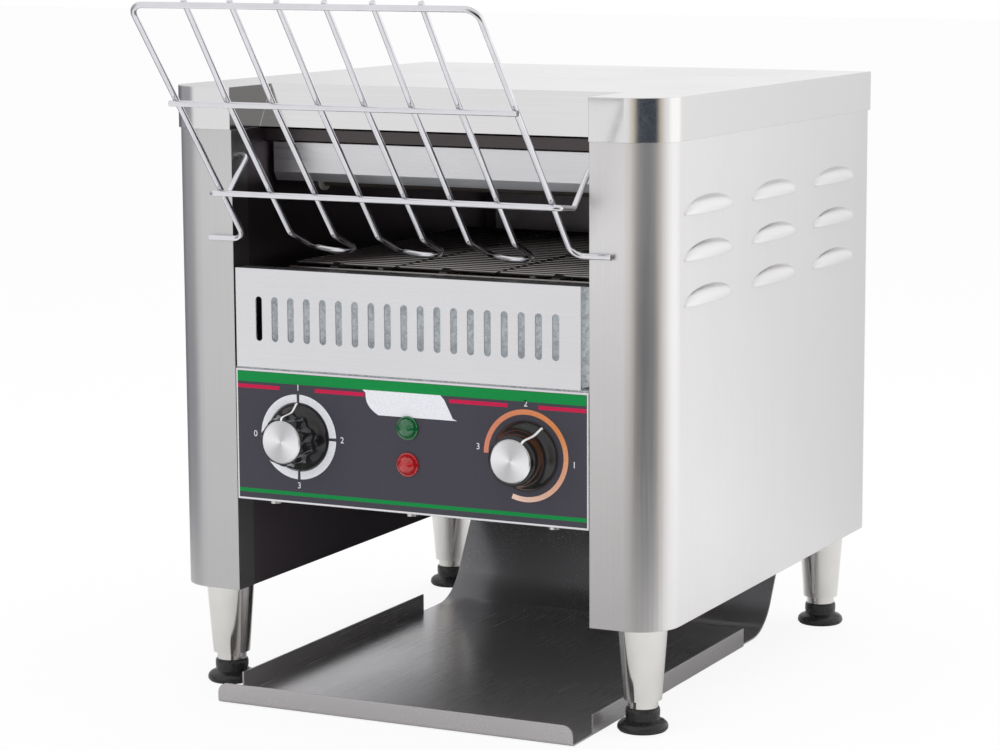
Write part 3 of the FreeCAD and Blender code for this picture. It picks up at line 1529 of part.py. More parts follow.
def screws():
    pieces = []
    for step in (-1, 0, 1):
        x = f"{step} * panel_screw_spacing"
        at = (x, "screw_head + sheet_wall", "panel_bottom - screw_head_height")
        pieces.append(cylinder(at, "Z", "screw_head_height", "screw_head"))
    for sign in (-1, 1):
        for share in BACK_SCREW_SHARES:
            level = f"body_bottom + {share} * ({SHELL_TOP} - body_bottom)"
            at = (times(sign, f"{HALF} - back_screw_inset"), "body_depth", level)
            pieces.append(cylinder(at, "Y", "screw_head_height", "screw_head"))
    keep(group(pieces), "panel_screws")


screws()


# Every feature must be sound before anything is written

doc.recompute()
for thing in doc.Objects:
    if "Invalid" in thing.State or "Error" in thing.State:
        raise RuntimeError(f"{thing.Label} did not compute")
os.makedirs("parts", exist_ok=True)
for thing in subparts:
    shape = thing.Shape
    if shape.isNull() or not shape.isValid() or not shape.Solids:
        raise RuntimeError(f"{thing.Label} has no sound shape")
    shape.exportStep(f"parts/{thing.Label}.step")
print(len(subparts), "pieces written")
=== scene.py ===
import bmesh
import bpy
import math
from mathutils import Euler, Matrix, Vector


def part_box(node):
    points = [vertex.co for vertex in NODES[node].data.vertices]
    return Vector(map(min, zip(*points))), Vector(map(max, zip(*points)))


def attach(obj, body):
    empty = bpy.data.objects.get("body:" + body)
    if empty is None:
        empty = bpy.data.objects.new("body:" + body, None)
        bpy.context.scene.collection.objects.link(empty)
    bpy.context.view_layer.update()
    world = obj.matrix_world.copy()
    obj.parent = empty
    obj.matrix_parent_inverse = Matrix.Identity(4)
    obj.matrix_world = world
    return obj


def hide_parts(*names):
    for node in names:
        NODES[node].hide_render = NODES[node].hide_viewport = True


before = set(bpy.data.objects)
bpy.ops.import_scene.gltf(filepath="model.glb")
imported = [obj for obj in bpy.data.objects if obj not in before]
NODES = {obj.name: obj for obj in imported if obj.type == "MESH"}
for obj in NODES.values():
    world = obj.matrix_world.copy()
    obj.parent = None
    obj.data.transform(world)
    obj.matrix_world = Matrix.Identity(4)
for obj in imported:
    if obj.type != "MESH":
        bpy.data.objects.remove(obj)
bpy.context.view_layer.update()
MM = 0.001


# Camera at the photograph's angle, solved from the edges of the body

CAMERA_AT = (0.919295, -1.822862, 0.525137)
CAMERA_BELOW_LEVEL = 0.152
CAMERA_ROUND = 0.431
CAMERA_LENS = 106.157
CAMERA_SENSOR = 36
CAMERA_SHIFT = -0.1
CAMERA_REACH = 50

cam_data = bpy.data.cameras.new("camera")
cam = bpy.data.objects.new("camera", cam_data)
bpy.context.scene.collection.objects.link(cam)
cam.location = CAMERA_AT
cam.rotation_euler = Euler((math.pi / 2 - CAMERA_BELOW_LEVEL, 0, CAMERA_ROUND))
cam_data.lens = CAMERA_LENS
cam_data.sensor_width = CAMERA_SENSOR
cam_data.shift_x = CAMERA_SHIFT
cam_data.clip_end = CAMERA_REACH
bpy.context.scene.camera = cam
bpy.context.scene.view_settings.view_transform = "Standard"


# Colours

def linear(r, g, b):
    """An 8-bit display colour as the renderer's linear one."""
    out = []
    for c in (r, g, b):
        c /= 255
        out.append(c / 12.92 if c <= 0.04045 else ((c + 0.055) / 1.055) ** 2.4)
    return (*out, 1)


def shaded(color, factor, lift=0.0):
    """A colour made darker or lighter, and no lighter than white."""
    return tuple(min(1, c * factor + lift) for c in color[:3]) + (1,)


def between(a, b, share):
    return tuple(p + (q - p) * share for p, q in zip(a, b))


WHITE = (1, 1, 1, 1)
STUDIO = (0.90, 0.90, 0.915, 1)
STEEL = (0.80, 0.79, 0.785, 1)
DULL_STEEL = (0.45, 0.45, 0.47, 1)
TARNISH = (0.35, 0.34, 0.32, 1)
SPANGLE_GLINT = (0.95, 0.96, 1, 1)


# Small node-tree helpers

def new_material(name):
    material = bpy.data.materials.new(name)
    material.use_nodes = True
    tree = material.node_tree
    shader = tree.nodes["Principled BSDF"]
    return material, tree, shader


def node(tree, kind, **sockets):
    made = tree.nodes.new(kind)
    for key, value in sockets.items():
        key = key.replace("_", " ")
        made.inputs[key].default_value = value
    return made


def join(tree, a, b):
    tree.links.new(a, b)


def feed(tree, sockets, values):
    """Gives each socket a plain value or the output of another node."""
    for socket, value in zip(sockets, values):
        if isinstance(value, (int, float, tuple, Vector)):
            socket.default_value = value
        else:
            join(tree, value, socket)


def calculate(tree, operation, *values):
    made = tree.nodes.new("ShaderNodeMath")
    made.operation = operation
    feed(tree, made.inputs, values)
    return made.outputs[0]


def vector_math(tree, operation, *values):
    made = tree.nodes.new("ShaderNodeVectorMath")
    made.operation = operation
    feed(tree, made.inputs, values)
    return made.outputs


def split(tree, vector):
    made = tree.nodes.new("ShaderNodeSeparateXYZ")
    join(tree, vector, made.inputs[0])
    return made.outputs


def position(tree):
    """Object coordinates in metres."""
    return tree.nodes.new("ShaderNodeTexCoord").outputs["Object"]


def coordinates(tree, scale=(1, 1, 1)):
    """Object coordinates in metres, stretched along each axis."""
    stretch = tree.nodes.new("ShaderNodeMapping")
    stretch.inputs["Scale"].default_value = scale
    join(tree, position(tree), stretch.inputs["Vector"])
    return stretch.outputs["Vector"]


def noise(tree, vector, scale, detail=3.0, rough=0.55):
    made = node(tree, "ShaderNodeTexNoise", Scale=scale, Detail=detail, Roughness=rough)
    join(tree, vector, made.inputs["Vector"])
    return made.outputs["Fac"]


def crystals(tree, scale):
    made = node(tree, "ShaderNodeTexVoronoi", Scale=scale)
    join(tree, coordinates(tree), made.inputs["Vector"])
    return made.outputs


def ramp(tree, source, low, high, start=0.0, end=1.0):
    """A value between low and high as one between start and end."""
    made = node(tree, "ShaderNodeMapRange", From_Min=low, From_Max=high, To_Min=start, To_Max=end)
    join(tree, source, made.inputs["Value"])
    return made.outputs["Result"]


def about(tree, source, level, spread, low=0.3, high=0.7):
    """A noise as a value that varies a little to both sides of a level."""
    return ramp(tree, source, low, high, level - spread, level + spread)


def blend_colors(tree, factor, a, b, mode="MIX"):
    made = tree.nodes.new("ShaderNodeMix")
    made.data_type = "RGBA"
    made.blend_type = mode
    feed(tree, (made.inputs[0], made.inputs[6], made.inputs[7]), (factor, a, b))
    return made.outputs[2]


def bump(tree, shader, height, strength, distance, edge=0.0):
    """Surface relief, with softened edges where a radius is given."""
    made = node(tree, "ShaderNodeBump", Strength=strength, Distance=distance)
    join(tree, height, made.inputs["Height"])
    if edge:
        soft = tree.nodes.new("ShaderNodeBevel")
        soft.samples = 4
        soft.inputs["Radius"].default_value = edge
        join(tree, soft.outputs["Normal"], made.inputs["Normal"])
    join(tree, made.outputs["Normal"], shader.inputs["Normal"])


# Materials

GRAIN_ALONG = 8
GRAIN_ACROSS = 1700
GRAIN = {
    "x": (GRAIN_ALONG, GRAIN_ACROSS, GRAIN_ACROSS),
    "y": (GRAIN_ACROSS, GRAIN_ALONG, GRAIN_ACROSS),
    "z": (GRAIN_ACROSS, GRAIN_ACROSS, GRAIN_ALONG),
}
SHEET_EDGE = 0.0006


def brushed(name, color, rough, along, streak, cloud, metal=1.0):
    """Brushed steel with its grain along one axis."""
    material, tree, shader = new_material(name)
    grain = noise(tree, coordinates(tree, GRAIN[along]), 1.0, detail=4.0)
    clouds = noise(tree, coordinates(tree), 9.0, detail=4.0)
    dark = shaded(color, 1 - streak)
    light = shaded(color, 1 + streak)
    tint = blend_colors(tree, ramp(tree, grain, 0.3, 0.7), dark, light)
    dull = blend_colors(tree, ramp(tree, clouds, 0.35, 0.75, end=cloud), tint, DULL_STEEL)
    join(tree, dull, shader.inputs["Base Color"])
    shader.inputs["Metallic"].default_value = metal
    by_grain = about(tree, grain, rough, 0.05, low=0.25, high=0.75)
    by_cloud = about(tree, clouds, 0.0, 0.03)
    join(tree, calculate(tree, "ADD", by_grain, by_cloud), shader.inputs["Roughness"])
    bump(tree, shader, grain, strength=0.012, distance=0.0002, edge=SHEET_EDGE)
    return material


SHELL_STREAK = 0.03
RETURN_X = -0.1
RETURN_FADE = 0.005


def shell_steel(name, color, rough, along, front_low_shade, side_back_shade, inner, cloud=0.06):
    """Brushed sheet of the body, with shade painted into its colour.

    As in the photograph, its front faces get darker towards the bottom and its side faces towards the
    back. The faces at the far left that look inwards are darker all over.
    """
    material = brushed(name, color, rough, along, SHELL_STREAK, cloud)
    tree = material.node_tree
    shader = tree.nodes["Principled BSDF"]
    tint = shader.inputs["Base Color"].links[0].from_socket
    at = split(tree, position(tree))
    facing = split(tree, tree.nodes.new("ShaderNodeNewGeometry").outputs["True Normal"])
    # Painted shade: masks for the front faces, the side faces and the inward faces at the far left. There
    # the colour is made darker in place of the dark parts of the studio that brushed metal would mirror.
    front = ramp(tree, facing["Y"], -0.55, -0.95)
    side = ramp(tree, facing["X"], 0.75, 0.97)
    inwards = ramp(tree, facing["X"], 0.4, 0.6)
    at_left = ramp(tree, at["X"], RETURN_X, RETURN_X - RETURN_FADE)
    low = ramp(tree, at["Z"], 0.33, 0.08, start=1.0, end=front_low_shade)
    back = ramp(tree, at["Y"], -0.08, 0.25, start=1.0, end=side_back_shade)
    inner_shade = tree.nodes.new("ShaderNodeValue").outputs[0]
    inner_shade.default_value = inner
    turned_in = calculate(tree, "MULTIPLY", inwards, at_left)
    # Each mask darkens the colour by its factor of painted shade.
    for factor, shade in ((front, low), (side, back), (turned_in, inner_shade)):
        gray = tree.nodes.new("ShaderNodeCombineColor")
        for channel in gray.inputs:
            join(tree, shade, channel)
        darker = blend_colors(tree, 1.0, tint, gray.outputs[0], "MULTIPLY")
        tint = blend_colors(tree, factor, tint, darker)
    join(tree, tint, shader.inputs["Base Color"])
    return material


def plated(name, color, rough, cloud=0.04):
    """Bright plating with a little unevenness."""
    material, tree, shader = new_material(name)
    clouds = noise(tree, coordinates(tree), 60.0)
    tint = blend_colors(tree, ramp(tree, clouds, 0.3, 0.8, end=cloud * 4), color, TARNISH)
    join(tree, tint, shader.inputs["Base Color"])
    shader.inputs["Metallic"].default_value = 1.0
    join(tree, ramp(tree, clouds, 0.3, 0.7, rough, rough + cloud), shader.inputs["Roughness"])
    bump(tree, shader, clouds, strength=0.03, distance=0.0003)
    return material


def moulded(name, color, rough, grain=900.0, depth=0.06, coat=0.0):
    """Plastic, rubber, ceramic or enamel with a fine texture."""
    material, tree, shader = new_material(name)
    fine = noise(tree, coordinates(tree), grain, detail=2.0)
    clouds = noise(tree, coordinates(tree), 25.0)
    worn = shaded(color, 1.15, lift=0.003)
    tint = blend_colors(tree, ramp(tree, clouds, 0.3, 0.7), color, worn)
    join(tree, tint, shader.inputs["Base Color"])
    join(tree, about(tree, fine, rough, 0.06), shader.inputs["Roughness"])
    shader.inputs["Coat Weight"].default_value = coat
    shader.inputs["Coat Roughness"].default_value = 0.06
    bump(tree, shader, fine, depth, distance=0.0002)
    return material


def printed(name, color):
    """Ink on a printed sheet."""
    material, tree, shader = new_material(name)
    fine = noise(tree, coordinates(tree), 1500.0, detail=2.0)
    tint = blend_colors(tree, ramp(tree, fine, 0.35, 0.65), color, shaded(color, 1.14))
    join(tree, tint, shader.inputs["Base Color"])
    shader.inputs["Roughness"].default_value = 0.42
    shader.inputs["Specular IOR Level"].default_value = 0.2
    bump(tree, shader, fine, strength=0.04, distance=0.0001)
    return material


def spun(name, color, centre, rough):
    """Turned aluminium: rings round a centre on a face that looks along -Y, with two pale fans painted in
    as highlights.
    """
    highlight_turn = 0.55
    ring_scale = 4000.0
    material, tree, shader = new_material(name)
    from_centre = vector_math(tree, "SUBTRACT", position(tree), centre)[0]
    at = split(tree, from_centre)
    # Painted highlight: two pale fans across the cap, the shine that spun metal shows, painted into its
    # colour.
    angle = calculate(tree, "ARCTAN2", at["Z"], at["X"])
    twice = calculate(tree, "MULTIPLY", angle, 2.0)
    highlight_wave = calculate(tree, "COSINE", calculate(tree, "ADD", twice, highlight_turn))
    tint = blend_colors(tree, ramp(tree, highlight_wave, -1, 1), shaded(color, 0.62), color)
    join(tree, tint, shader.inputs["Base Color"])
    shader.inputs["Metallic"].default_value = 1.0
    radius = vector_math(tree, "LENGTH", from_centre)["Value"]
    rings = node(tree, "ShaderNodeTexNoise", Scale=1.0, Detail=3.0)
    rings.noise_dimensions = "1D"
    join(tree, calculate(tree, "MULTIPLY", radius, ring_scale), rings.inputs["W"])
    join(tree, about(tree, rings.outputs["Fac"], rough, 0.06), shader.inputs["Roughness"])
    bump(tree, shader, rings.outputs["Fac"], strength=0.12, distance=0.0001)
    return material


def lens(name, color, glow):
    """A coloured lamp lens with a grain inside."""
    material, tree, shader = new_material(name)
    depth = crystals(tree, 700.0)["Distance"]
    light = shaded(color, 1.5, lift=0.01)
    join(tree, blend_colors(tree, ramp(tree, depth, 0.1, 0.6), light, color), shader.inputs["Base Color"])
    shader.inputs["Roughness"].default_value = 0.08
    shader.inputs["Coat Weight"].default_value = 1.0
    shader.inputs["Emission Color"].default_value = color
    shader.inputs["Emission Strength"].default_value = glow
    bump(tree, shader, depth, strength=0.25, distance=0.0003)
    return material


def spangled(name, color, rough, glow=0.0):
    """Galvanised sheet with its crystal pattern, and a glow of painted light where one is given."""
    material, tree, shader = new_material(name)
    gray = tree.nodes.new("ShaderNodeRGBToBW")
    join(tree, crystals(tree, 420.0)["Color"], gray.inputs[0])
    fine = noise(tree, coordinates(tree), 700.0, detail=4.0)
    tint = blend_colors(tree, ramp(tree, gray.outputs[0], 0.25, 0.75), shaded(color, 0.68), color)
    tint = blend_colors(tree, ramp(tree, fine, 0.45, 0.7, end=0.6), tint, SPANGLE_GLINT)
    join(tree, tint, shader.inputs["Base Color"])
    shader.inputs["Metallic"].default_value = 0.35
    # The glow is painted light: the sheet shines in its own colour, so that it looks lit where it lies in
    # shade.
    join(tree, tint, shader.inputs["Emission Color"])
    shader.inputs["Emission Strength"].default_value = glow
    join(tree, about(tree, gray.outputs[0], rough, 0.1, low=0.2, high=0.8), shader.inputs["Roughness"])
    bump(tree, shader, fine, strength=0.1, distance=0.0003)
    return material


M = {
    # Painted shade on the body: the factors give how dark the lower fronts, the backs of the sides and the
    # inward faces at the far left are painted.
    "side": shell_steel("side_steel", STEEL, 0.36, "z", front_low_shade=0.6, side_back_shade=0.84, inner=1.0),
    # The left side panel is a darker copy of the side steel; its darker tone is a painted shade.
    "side_left_shaded": shell_steel("side_steel_left_shaded", (0.66, 0.655, 0.65, 1), 0.36, "z",
                             front_low_shade=0.8, side_back_shade=0.9, inner=0.35),
    "cover": shell_steel("cover_steel", (0.80, 0.79, 0.78, 1), 0.13, "x",
                         front_low_shade=1.0, side_back_shade=0.86, inner=0.3, cloud=0.05),
    "front": brushed("front_steel", (0.78, 0.78, 0.79, 1), 0.3, "x", streak=0.03, cloud=0.05),
    "back": brushed("back_steel", STEEL, 0.34, "z", streak=0.03, cloud=0.05),
    # The inner walls and the reflectors are steel painted dark: painted shade, for the shade inside the
    # tunnel and under the belt.
    "wall": brushed("wall_steel_painted_shade", (0.17, 0.145, 0.165, 1), 0.34, "z", streak=0.03, cloud=0.0),
    "inside": brushed("inside_steel_painted_shade", (0.10, 0.088, 0.088, 1), 0.38, "x", streak=0.06, cloud=0.0),
    "tray": brushed("tray_steel", (0.50, 0.485, 0.49, 1), 0.24, "y", streak=0.04, cloud=0.06, metal=0.72),
    "galvanised": spangled("galvanised", (0.52, 0.55, 0.58, 1), 0.42),
    # The grille backing is a lighter copy of the galvanised sheet that also glows: painted light on a
    # sheet that lies in shade behind the grille.
    "backing": spangled("backing_sheet_painted_light", (0.80, 0.86, 0.90, 1), 0.5, glow=0.16),
    "belt": plated("belt_wire", (0.30, 0.28, 0.27, 1), 0.16),
    "machined": plated("machined_steel", (0.55, 0.54, 0.53, 1), 0.3),
    "tube": moulded("heater_tube", (0.10, 0.085, 0.075, 1), 0.6),
    "ceramic": moulded("ceramic", (0.75, 0.72, 0.66, 1), 0.5),
    "chrome": plated("chrome_wire", (0.78, 0.78, 0.81, 1), 0.05),
    "nickel": plated("leg_nickel", (0.74, 0.73, 0.70, 1), 0.1),
    "rubber": moulded("foot_rubber", (0.012, 0.012, 0.013, 1), 0.3, grain=500.0, depth=0.05),
    "field": printed("print_field", linear(68, 67, 76)),
    "green": printed("print_green", linear(0, 140, 66)),
    "crimson": printed("print_crimson", linear(200, 22, 74)),
    "white": printed("print_white", linear(236, 238, 246)),
    "knob": moulded("knob_black", (0.006, 0.006, 0.007, 1), 0.14, grain=1200.0, depth=0.02, coat=0.15),
    "pointer": printed("pointer_white", linear(240, 240, 240)),
    "plastic": moulded("black_plastic", (0.02, 0.02, 0.022, 1), 0.45),
    "enamel": moulded("motor_enamel", (0.05, 0.055, 0.06, 1), 0.35),
    "board": moulded("circuit_board", (0.03, 0.16, 0.07, 1), 0.4),
    "screw": plated("screw_steel", (0.7, 0.69, 0.66, 1), 0.22),
    "lens_green": lens("lens_green", linear(0, 92, 48), glow=0.06),
    "lens_red": lens("lens_red", linear(168, 4, 14), glow=0.08),
}

FEET = ["front_left_foot", "front_right_foot", "rear_left_foot", "rear_right_foot"]
DRESS = {
    "side": ["right_side_panel"],
    "side_left_shaded": ["left_side_panel"],
    "cover": ["top_cover"],
    "back": ["back_panel"],
    "front": ["control_panel", "grille_panel", "deflector_plate"],
    "wall": ["left_inner_wall", "right_inner_wall"],
    "inside": ["upper_reflector", "lower_reflector"],
    "galvanised": ["left_base_plate", "right_base_plate", "control_box", "control_box_lid"],
    "backing": ["grille_backing"],
    "screw": ["panel_screws"],
    "plastic": ["cable_gland", "selector_switch", "speed_control", "fan_frame", "fan_rotor"],
    "tube": ["heating_elements"],
    "ceramic": ["element_bushes"],
    "machined": ["belt_rails", "shaft_bearings", "front_belt_shaft", "front_belt_sprockets",
                 "rear_belt_shaft", "rear_belt_sprockets", "rear_drive_sprocket", "motor_output",
                 "selector_spindle", "speed_spindle"],
    "belt": ["conveyor_belt", "drive_chain"],
    "enamel": ["gear_motor"],
    "board": ["control_board"],
    "field": ["control_overlay"],
    "knob": ["selector_knob", "speed_knob"],
    "lens_green": ["power_lamp"],
    "lens_red": ["heat_lamp"],
    "tray": ["slide_tray"],
    "chrome": ["rack_frame_wire", "rack_cross_rod", "rack_hanger_wire", "rack_guide_wires", "fan_guard"],
    "nickel": ["front_left_leg", "front_right_leg", "rear_left_leg", "rear_right_leg"],
    "rubber": FEET,
}
CAP_COLOR = (0.9, 0.9, 0.91, 1)
CAP_ROUGH = 0.28


def paint(piece, material):
    piece.data.materials.clear()
    piece.data.materials.append(material)


for key, names in DRESS.items():
    for name in names:
        paint(NODES[name], M[key])
for name in ("selector", "speed"):
    low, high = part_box(name + "_knob_cap")
    middle = tuple((low + high) / 2)
    paint(NODES[name + "_knob_cap"], spun(name + "_cap_metal", CAP_COLOR, middle, CAP_ROUGH))


# Pieces built in mesh code. Sizes are in millimetres.

PANEL_FRONT = -128.0
OVERLAY = 0.3
SMOOTH_ANGLE = math.radians(35)


def add_object(name, data):
    made = bpy.data.objects.new(name, data)
    bpy.context.scene.collection.objects.link(made)
    return made


def mesh_piece(name, verts, faces, material, body, smooth=True):
    mesh = bpy.data.meshes.new(name)
    mesh.from_pydata([tuple(v) for v in verts], [], faces)
    mesh.validate()
    tool = bmesh.new()
    tool.from_mesh(mesh)
    bmesh.ops.recalc_face_normals(tool, faces=tool.faces)
    tool.to_mesh(mesh)
    tool.free()
    piece = add_object(name, mesh)
    if smooth:
        mesh.shade_smooth()
        mesh.set_sharp_from_angle(angle=SMOOTH_ANGLE)
    paint(piece, material)
    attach(piece, body)
    return piece


def ring_faces(rings, count):
    """Faces between closed rings of points, with both ends closed."""
    faces = []
    for row in range(rings - 1):
        low, high = row * count, (row + 1) * count
        for i in range(count):
            j = (i + 1) % count
            faces.append((low + i, low + j, high + j, high + i))
    last = (rings - 1) * count
    faces.append(tuple(range(count)))
    faces.append(tuple(range(last, last + count)))
    return faces


# Prints on the overlay

INK_Y = (PANEL_FRONT - OVERLAY) * MM
INK = 0.06 * MM


def ink(name, outline, material):
    """A thin printed shape on the overlay, from (x, z) points."""
    front = INK_Y - INK
    count = len(outline)
    verts = [(x * MM, INK_Y, z * MM) for x, z in outline] + [(x * MM, front, z * MM) for x, z in outline]
    faces = [tuple(range(count, 2 * count)), tuple(reversed(range(count)))]
    faces += [(i, (i + 1) % count, count + (i + 1) % count, count + i) for i in range(count)]
    return mesh_piece(name, verts, faces, material, "housing", smooth=False)


def sector(cx, cz, inner, outer, start, end, steps):
    """A ring sector; angles run clockwise from twelve o'clock, in degrees."""
    points = []
    for radius, order in ((outer, range(steps + 1)), (inner, range(steps, -1, -1))):
        for i in order:
            a = math.radians(start + (end - start) * i / steps)
            points.append((cx + radius * math.sin(a), cz + radius * math.cos(a)))
    return points


def strip(x0, z0, x1, z1):
    return [(x0, z0), (x1, z0), (x1, z1), (x0, z1)]


def flank(x, z, across, up, bend_across, bend_up, steps=8):
    """One curved side of the tag, from a point over a distance along each axis."""
    shares = [i / steps for i in range(steps + 1)]
    return [(x + across * t ** bend_across, z + up * t ** bend_up) for t in shares]


EDGE = 130.5
BAND_LOW = 218.5
BAND_HIGH = 225.4
LINE_LOW = 142.3
LINE_HIGH = 144.9
DASH_LOW = 213.9
DASH_HIGH = 216.5
DASHES = ((-EDGE, -98), (-70.4, -32.5), (31, 74), (96.2, EDGE))
ink("ink_green_band", strip(-EDGE, BAND_LOW, EDGE, BAND_HIGH), M["green"])
ink("ink_green_line", strip(-EDGE, LINE_LOW, EDGE, LINE_HIGH), M["green"])
for i, (left, right) in enumerate(DASHES, 1):
    ink(f"ink_crimson_{i}", strip(left, DASH_LOW, right, DASH_HIGH), M["crimson"])
tag = [(-33.9, BAND_LOW)]
tag += flank(-31.6, 216.6, across=9.6, up=-14.6, bend_across=2.2, bend_up=0.8)
tag += [(37, 202.2)]
tag += flank(33.6, 203.4, across=-6.2, up=12.2, bend_across=0.9, bend_up=0.85)
tag += [(24.6, BAND_LOW)]
ink("ink_tag", tag, M["white"])

SELECTOR = (-83.5, 182.8)
SPEED = (87, 182.8)
RING_INNER = 23.6
RING_OUTER = 29
RING_GAP = 2.2
QUARTER = 90
for i in range(4):
    start = QUARTER * i + RING_GAP
    end = QUARTER * (i + 1) - RING_GAP
    ink(f"ink_ring_{i + 1}", sector(*SELECTOR, RING_INNER, RING_OUTER, start, end, 24), M["white"])

# The speed scale is an arc whose colour changes in small steps
ARC_INNER = 27.2
ARC_OUTER = 30.6
ARC_START = -90
ARC_SPAN = 290
ARC_PIECES = 30
ARC_LOW = linear(222, 140, 116)
ARC_MIDDLE = linear(224, 140, 78)
ARC_HIGH = linear(240, 206, 190)
for i in range(ARC_PIECES):
    t = i / (ARC_PIECES - 1)
    if t < 0.5:
        shade = between(ARC_LOW, ARC_MIDDLE, t * 2)
    else:
        shade = between(ARC_MIDDLE, ARC_HIGH, t * 2 - 1)
    start = ARC_START + ARC_SPAN * i / ARC_PIECES
    outline = sector(*SPEED, ARC_INNER, ARC_OUTER, start, start + ARC_SPAN / ARC_PIECES, 4)
    ink(f"ink_arc_{i + 1}", outline, printed(f"print_arc_{i + 1}", shade))

DIGIT_SIZE = 6
NUMBERS = (
    ("selector", SELECTOR, 33.6, 33.4, (("0", -90), ("1", 0), ("2", 90), ("3", 180))),
    ("speed", SPEED, 35, 34.4, (("3", -84), ("2", 0), ("1", 96))),
)


def digit(name, text, x, z):
    """A plain number printed on the overlay."""
    curve = bpy.data.curves.new(name, "FONT")
    curve.body = text
    curve.size = DIGIT_SIZE * MM
    curve.align_x = "CENTER"
    curve.align_y = "CENTER"
    curve.extrude = INK / 2
    made = add_object(name, curve)
    made.location = (x * MM, INK_Y - INK / 2, z * MM)
    made.rotation_euler = (math.pi / 2, 0, 0)
    bpy.context.view_layer.update()
    mesh = bpy.data.meshes.new_from_object(made)
    mesh.transform(made.matrix_world)
    bpy.data.objects.remove(made)
    piece = add_object(name, mesh)
    paint(piece, M["white"])
    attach(piece, "housing")


for dial, centre, across, up, marks in NUMBERS:
    for text, angle in marks:
        a = math.radians(angle)
        x = centre[0] + across * math.sin(a)
        z = centre[1] + up * math.cos(a)
        digit(f"ink_{dial}_{text}", text, x, z)


# Knobs: a flared skirt, a grip with or without lobes, and a pointer line, under the metal caps

KNOB_TOP = 22.0
KNOB_PROFILE = [(23.0, 0.0), (23.2, 0.8), (22.6, 2.2), (20.6, 4.4), (18.9, 6.6), (18.0, 8.6), (17.6, 11.0),
                (17.3, 15.0), (17.0, 19.0), (16.5, 20.9), (15.6, 21.8), (14.7, KNOB_TOP)]
KNOB_BACK = 0.9
KNOB_SEGMENTS = 168
SKIRT_TOP = 4.4
LOBE_RISE = 4
LOBE_FALL = 1.5
POINTER_HALF_WIDTH = 0.75
POINTER_PROUD = 0.12
POINTER_FORWARD = 0.05
POINTER_DEPTH = 0.6


def front_ring(centre, height, radii):
    """A ring of points on an axis that runs along -Y, at a height above the panel."""
    points = []
    for i, radius in enumerate(radii):
        a = 2 * math.pi * i / len(radii)
        points.append(((centre[0] + radius * math.sin(a)) * MM, (PANEL_FRONT - height) * MM,
                       (centre[1] + radius * math.cos(a)) * MM))
    return points


def lobe(height, lobes, depth, angle):
    """How far the grip is cut in, as a negative length that fades out at the skirt and the top."""
    rise = min(1, max(0, (height - SKIRT_TOP) / LOBE_RISE))
    fall = min(1, max(0, (KNOB_TOP - height) / LOBE_FALL))
    return depth * rise * fall * (math.cos(lobes * angle) - 1) / 2


def knob(name, centre, lobes, depth, pointer, body):
    angles = [2 * math.pi * i / KNOB_SEGMENTS for i in range(KNOB_SEGMENTS)]
    verts = []
    for r, h in KNOB_PROFILE:
        verts += front_ring(centre, KNOB_BACK + h, [r + lobe(h, lobes, depth, a) for a in angles])
    faces = ring_faces(len(KNOB_PROFILE), KNOB_SEGMENTS)
    piece = mesh_piece(name + "_knob_shell", verts, faces, M["knob"], body)
    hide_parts(name + "_knob")
    # The pointer is a thin raised line that follows the profile
    a = math.radians(pointer)
    side = Vector((math.cos(a), 0, -math.sin(a))) * POINTER_HALF_WIDTH
    out = Vector((math.sin(a), 0, math.cos(a)))
    foot_point = Vector((centre[0], PANEL_FRONT - KNOB_BACK, centre[1]))
    verts = []
    for r, h in KNOB_PROFILE[1:]:
        radius = r + lobe(h, lobes, depth, a) + POINTER_PROUD
        middle = foot_point + out * radius + Vector((0, -h - POINTER_FORWARD, 0))
        inner = middle - out * POINTER_DEPTH
        verts += [(middle - side) * MM, (middle + side) * MM, (inner + side) * MM, (inner - side) * MM]
    faces = ring_faces(len(KNOB_PROFILE) - 1, 4)
    mesh_piece(name + "_pointer", verts, faces, M["pointer"], body)


knob("selector", SELECTOR, lobes=10, depth=1.7, pointer=0, body="selector_dial")
knob("speed", SPEED, lobes=0, depth=0.0, pointer=33, body="speed_dial")


# Lamps: each is one turned piece, the stem, the rolled rim and the dome of its coloured lens

TURNED_SEGMENTS = 64
LAMPS = (("power_lamp", 195, "lens_green"), ("heat_lamp", 170.4, "lens_red"))
LAMP_RIM = [(6.0, -20), (6.0, 0), (8.0, 0), (8.15, 0.5), (8.0, 1.2), (7.3, 1.6), (6.6, 1.4), (6.4, 1.2)]
DOME_RADIUS = 6.3
DOME_FOOT = 1.4
DOME_RISE = 4.6

dome = [math.radians(d) for d in range(4, 90, 6)]
lamp_profile = LAMP_RIM + [(DOME_RADIUS * math.cos(t), DOME_FOOT + DOME_RISE * math.sin(t)) for t in dome]
for name, level, key in LAMPS:
    verts = []
    for r, h in lamp_profile:
        verts += front_ring((0, level), OVERLAY + h, [r] * TURNED_SEGMENTS)
    faces = ring_faces(len(lamp_profile), TURNED_SEGMENTS)
    piece = mesh_piece(name + "_lens", verts, faces, M[key], "housing")
    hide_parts(name)


# Levelling feet: each is one turned piece, soft rounded rubber with its stud

STUD_RADIUS = 5.0
FOOT_PROFILE = [(13.2, 0.0), (15.6, 0.5), (16.8, 1.8), (17.0, 3.0), (16.5, 4.9), (15.0, 6.4), (12.8, 7.3),
                (11.4, 8.2), (11.2, 9.5), (11.5, 11.0), (11.5, 14.4), (11.0, 15.7), (10.2, 16.2),
                (STUD_RADIUS, 16.2)]

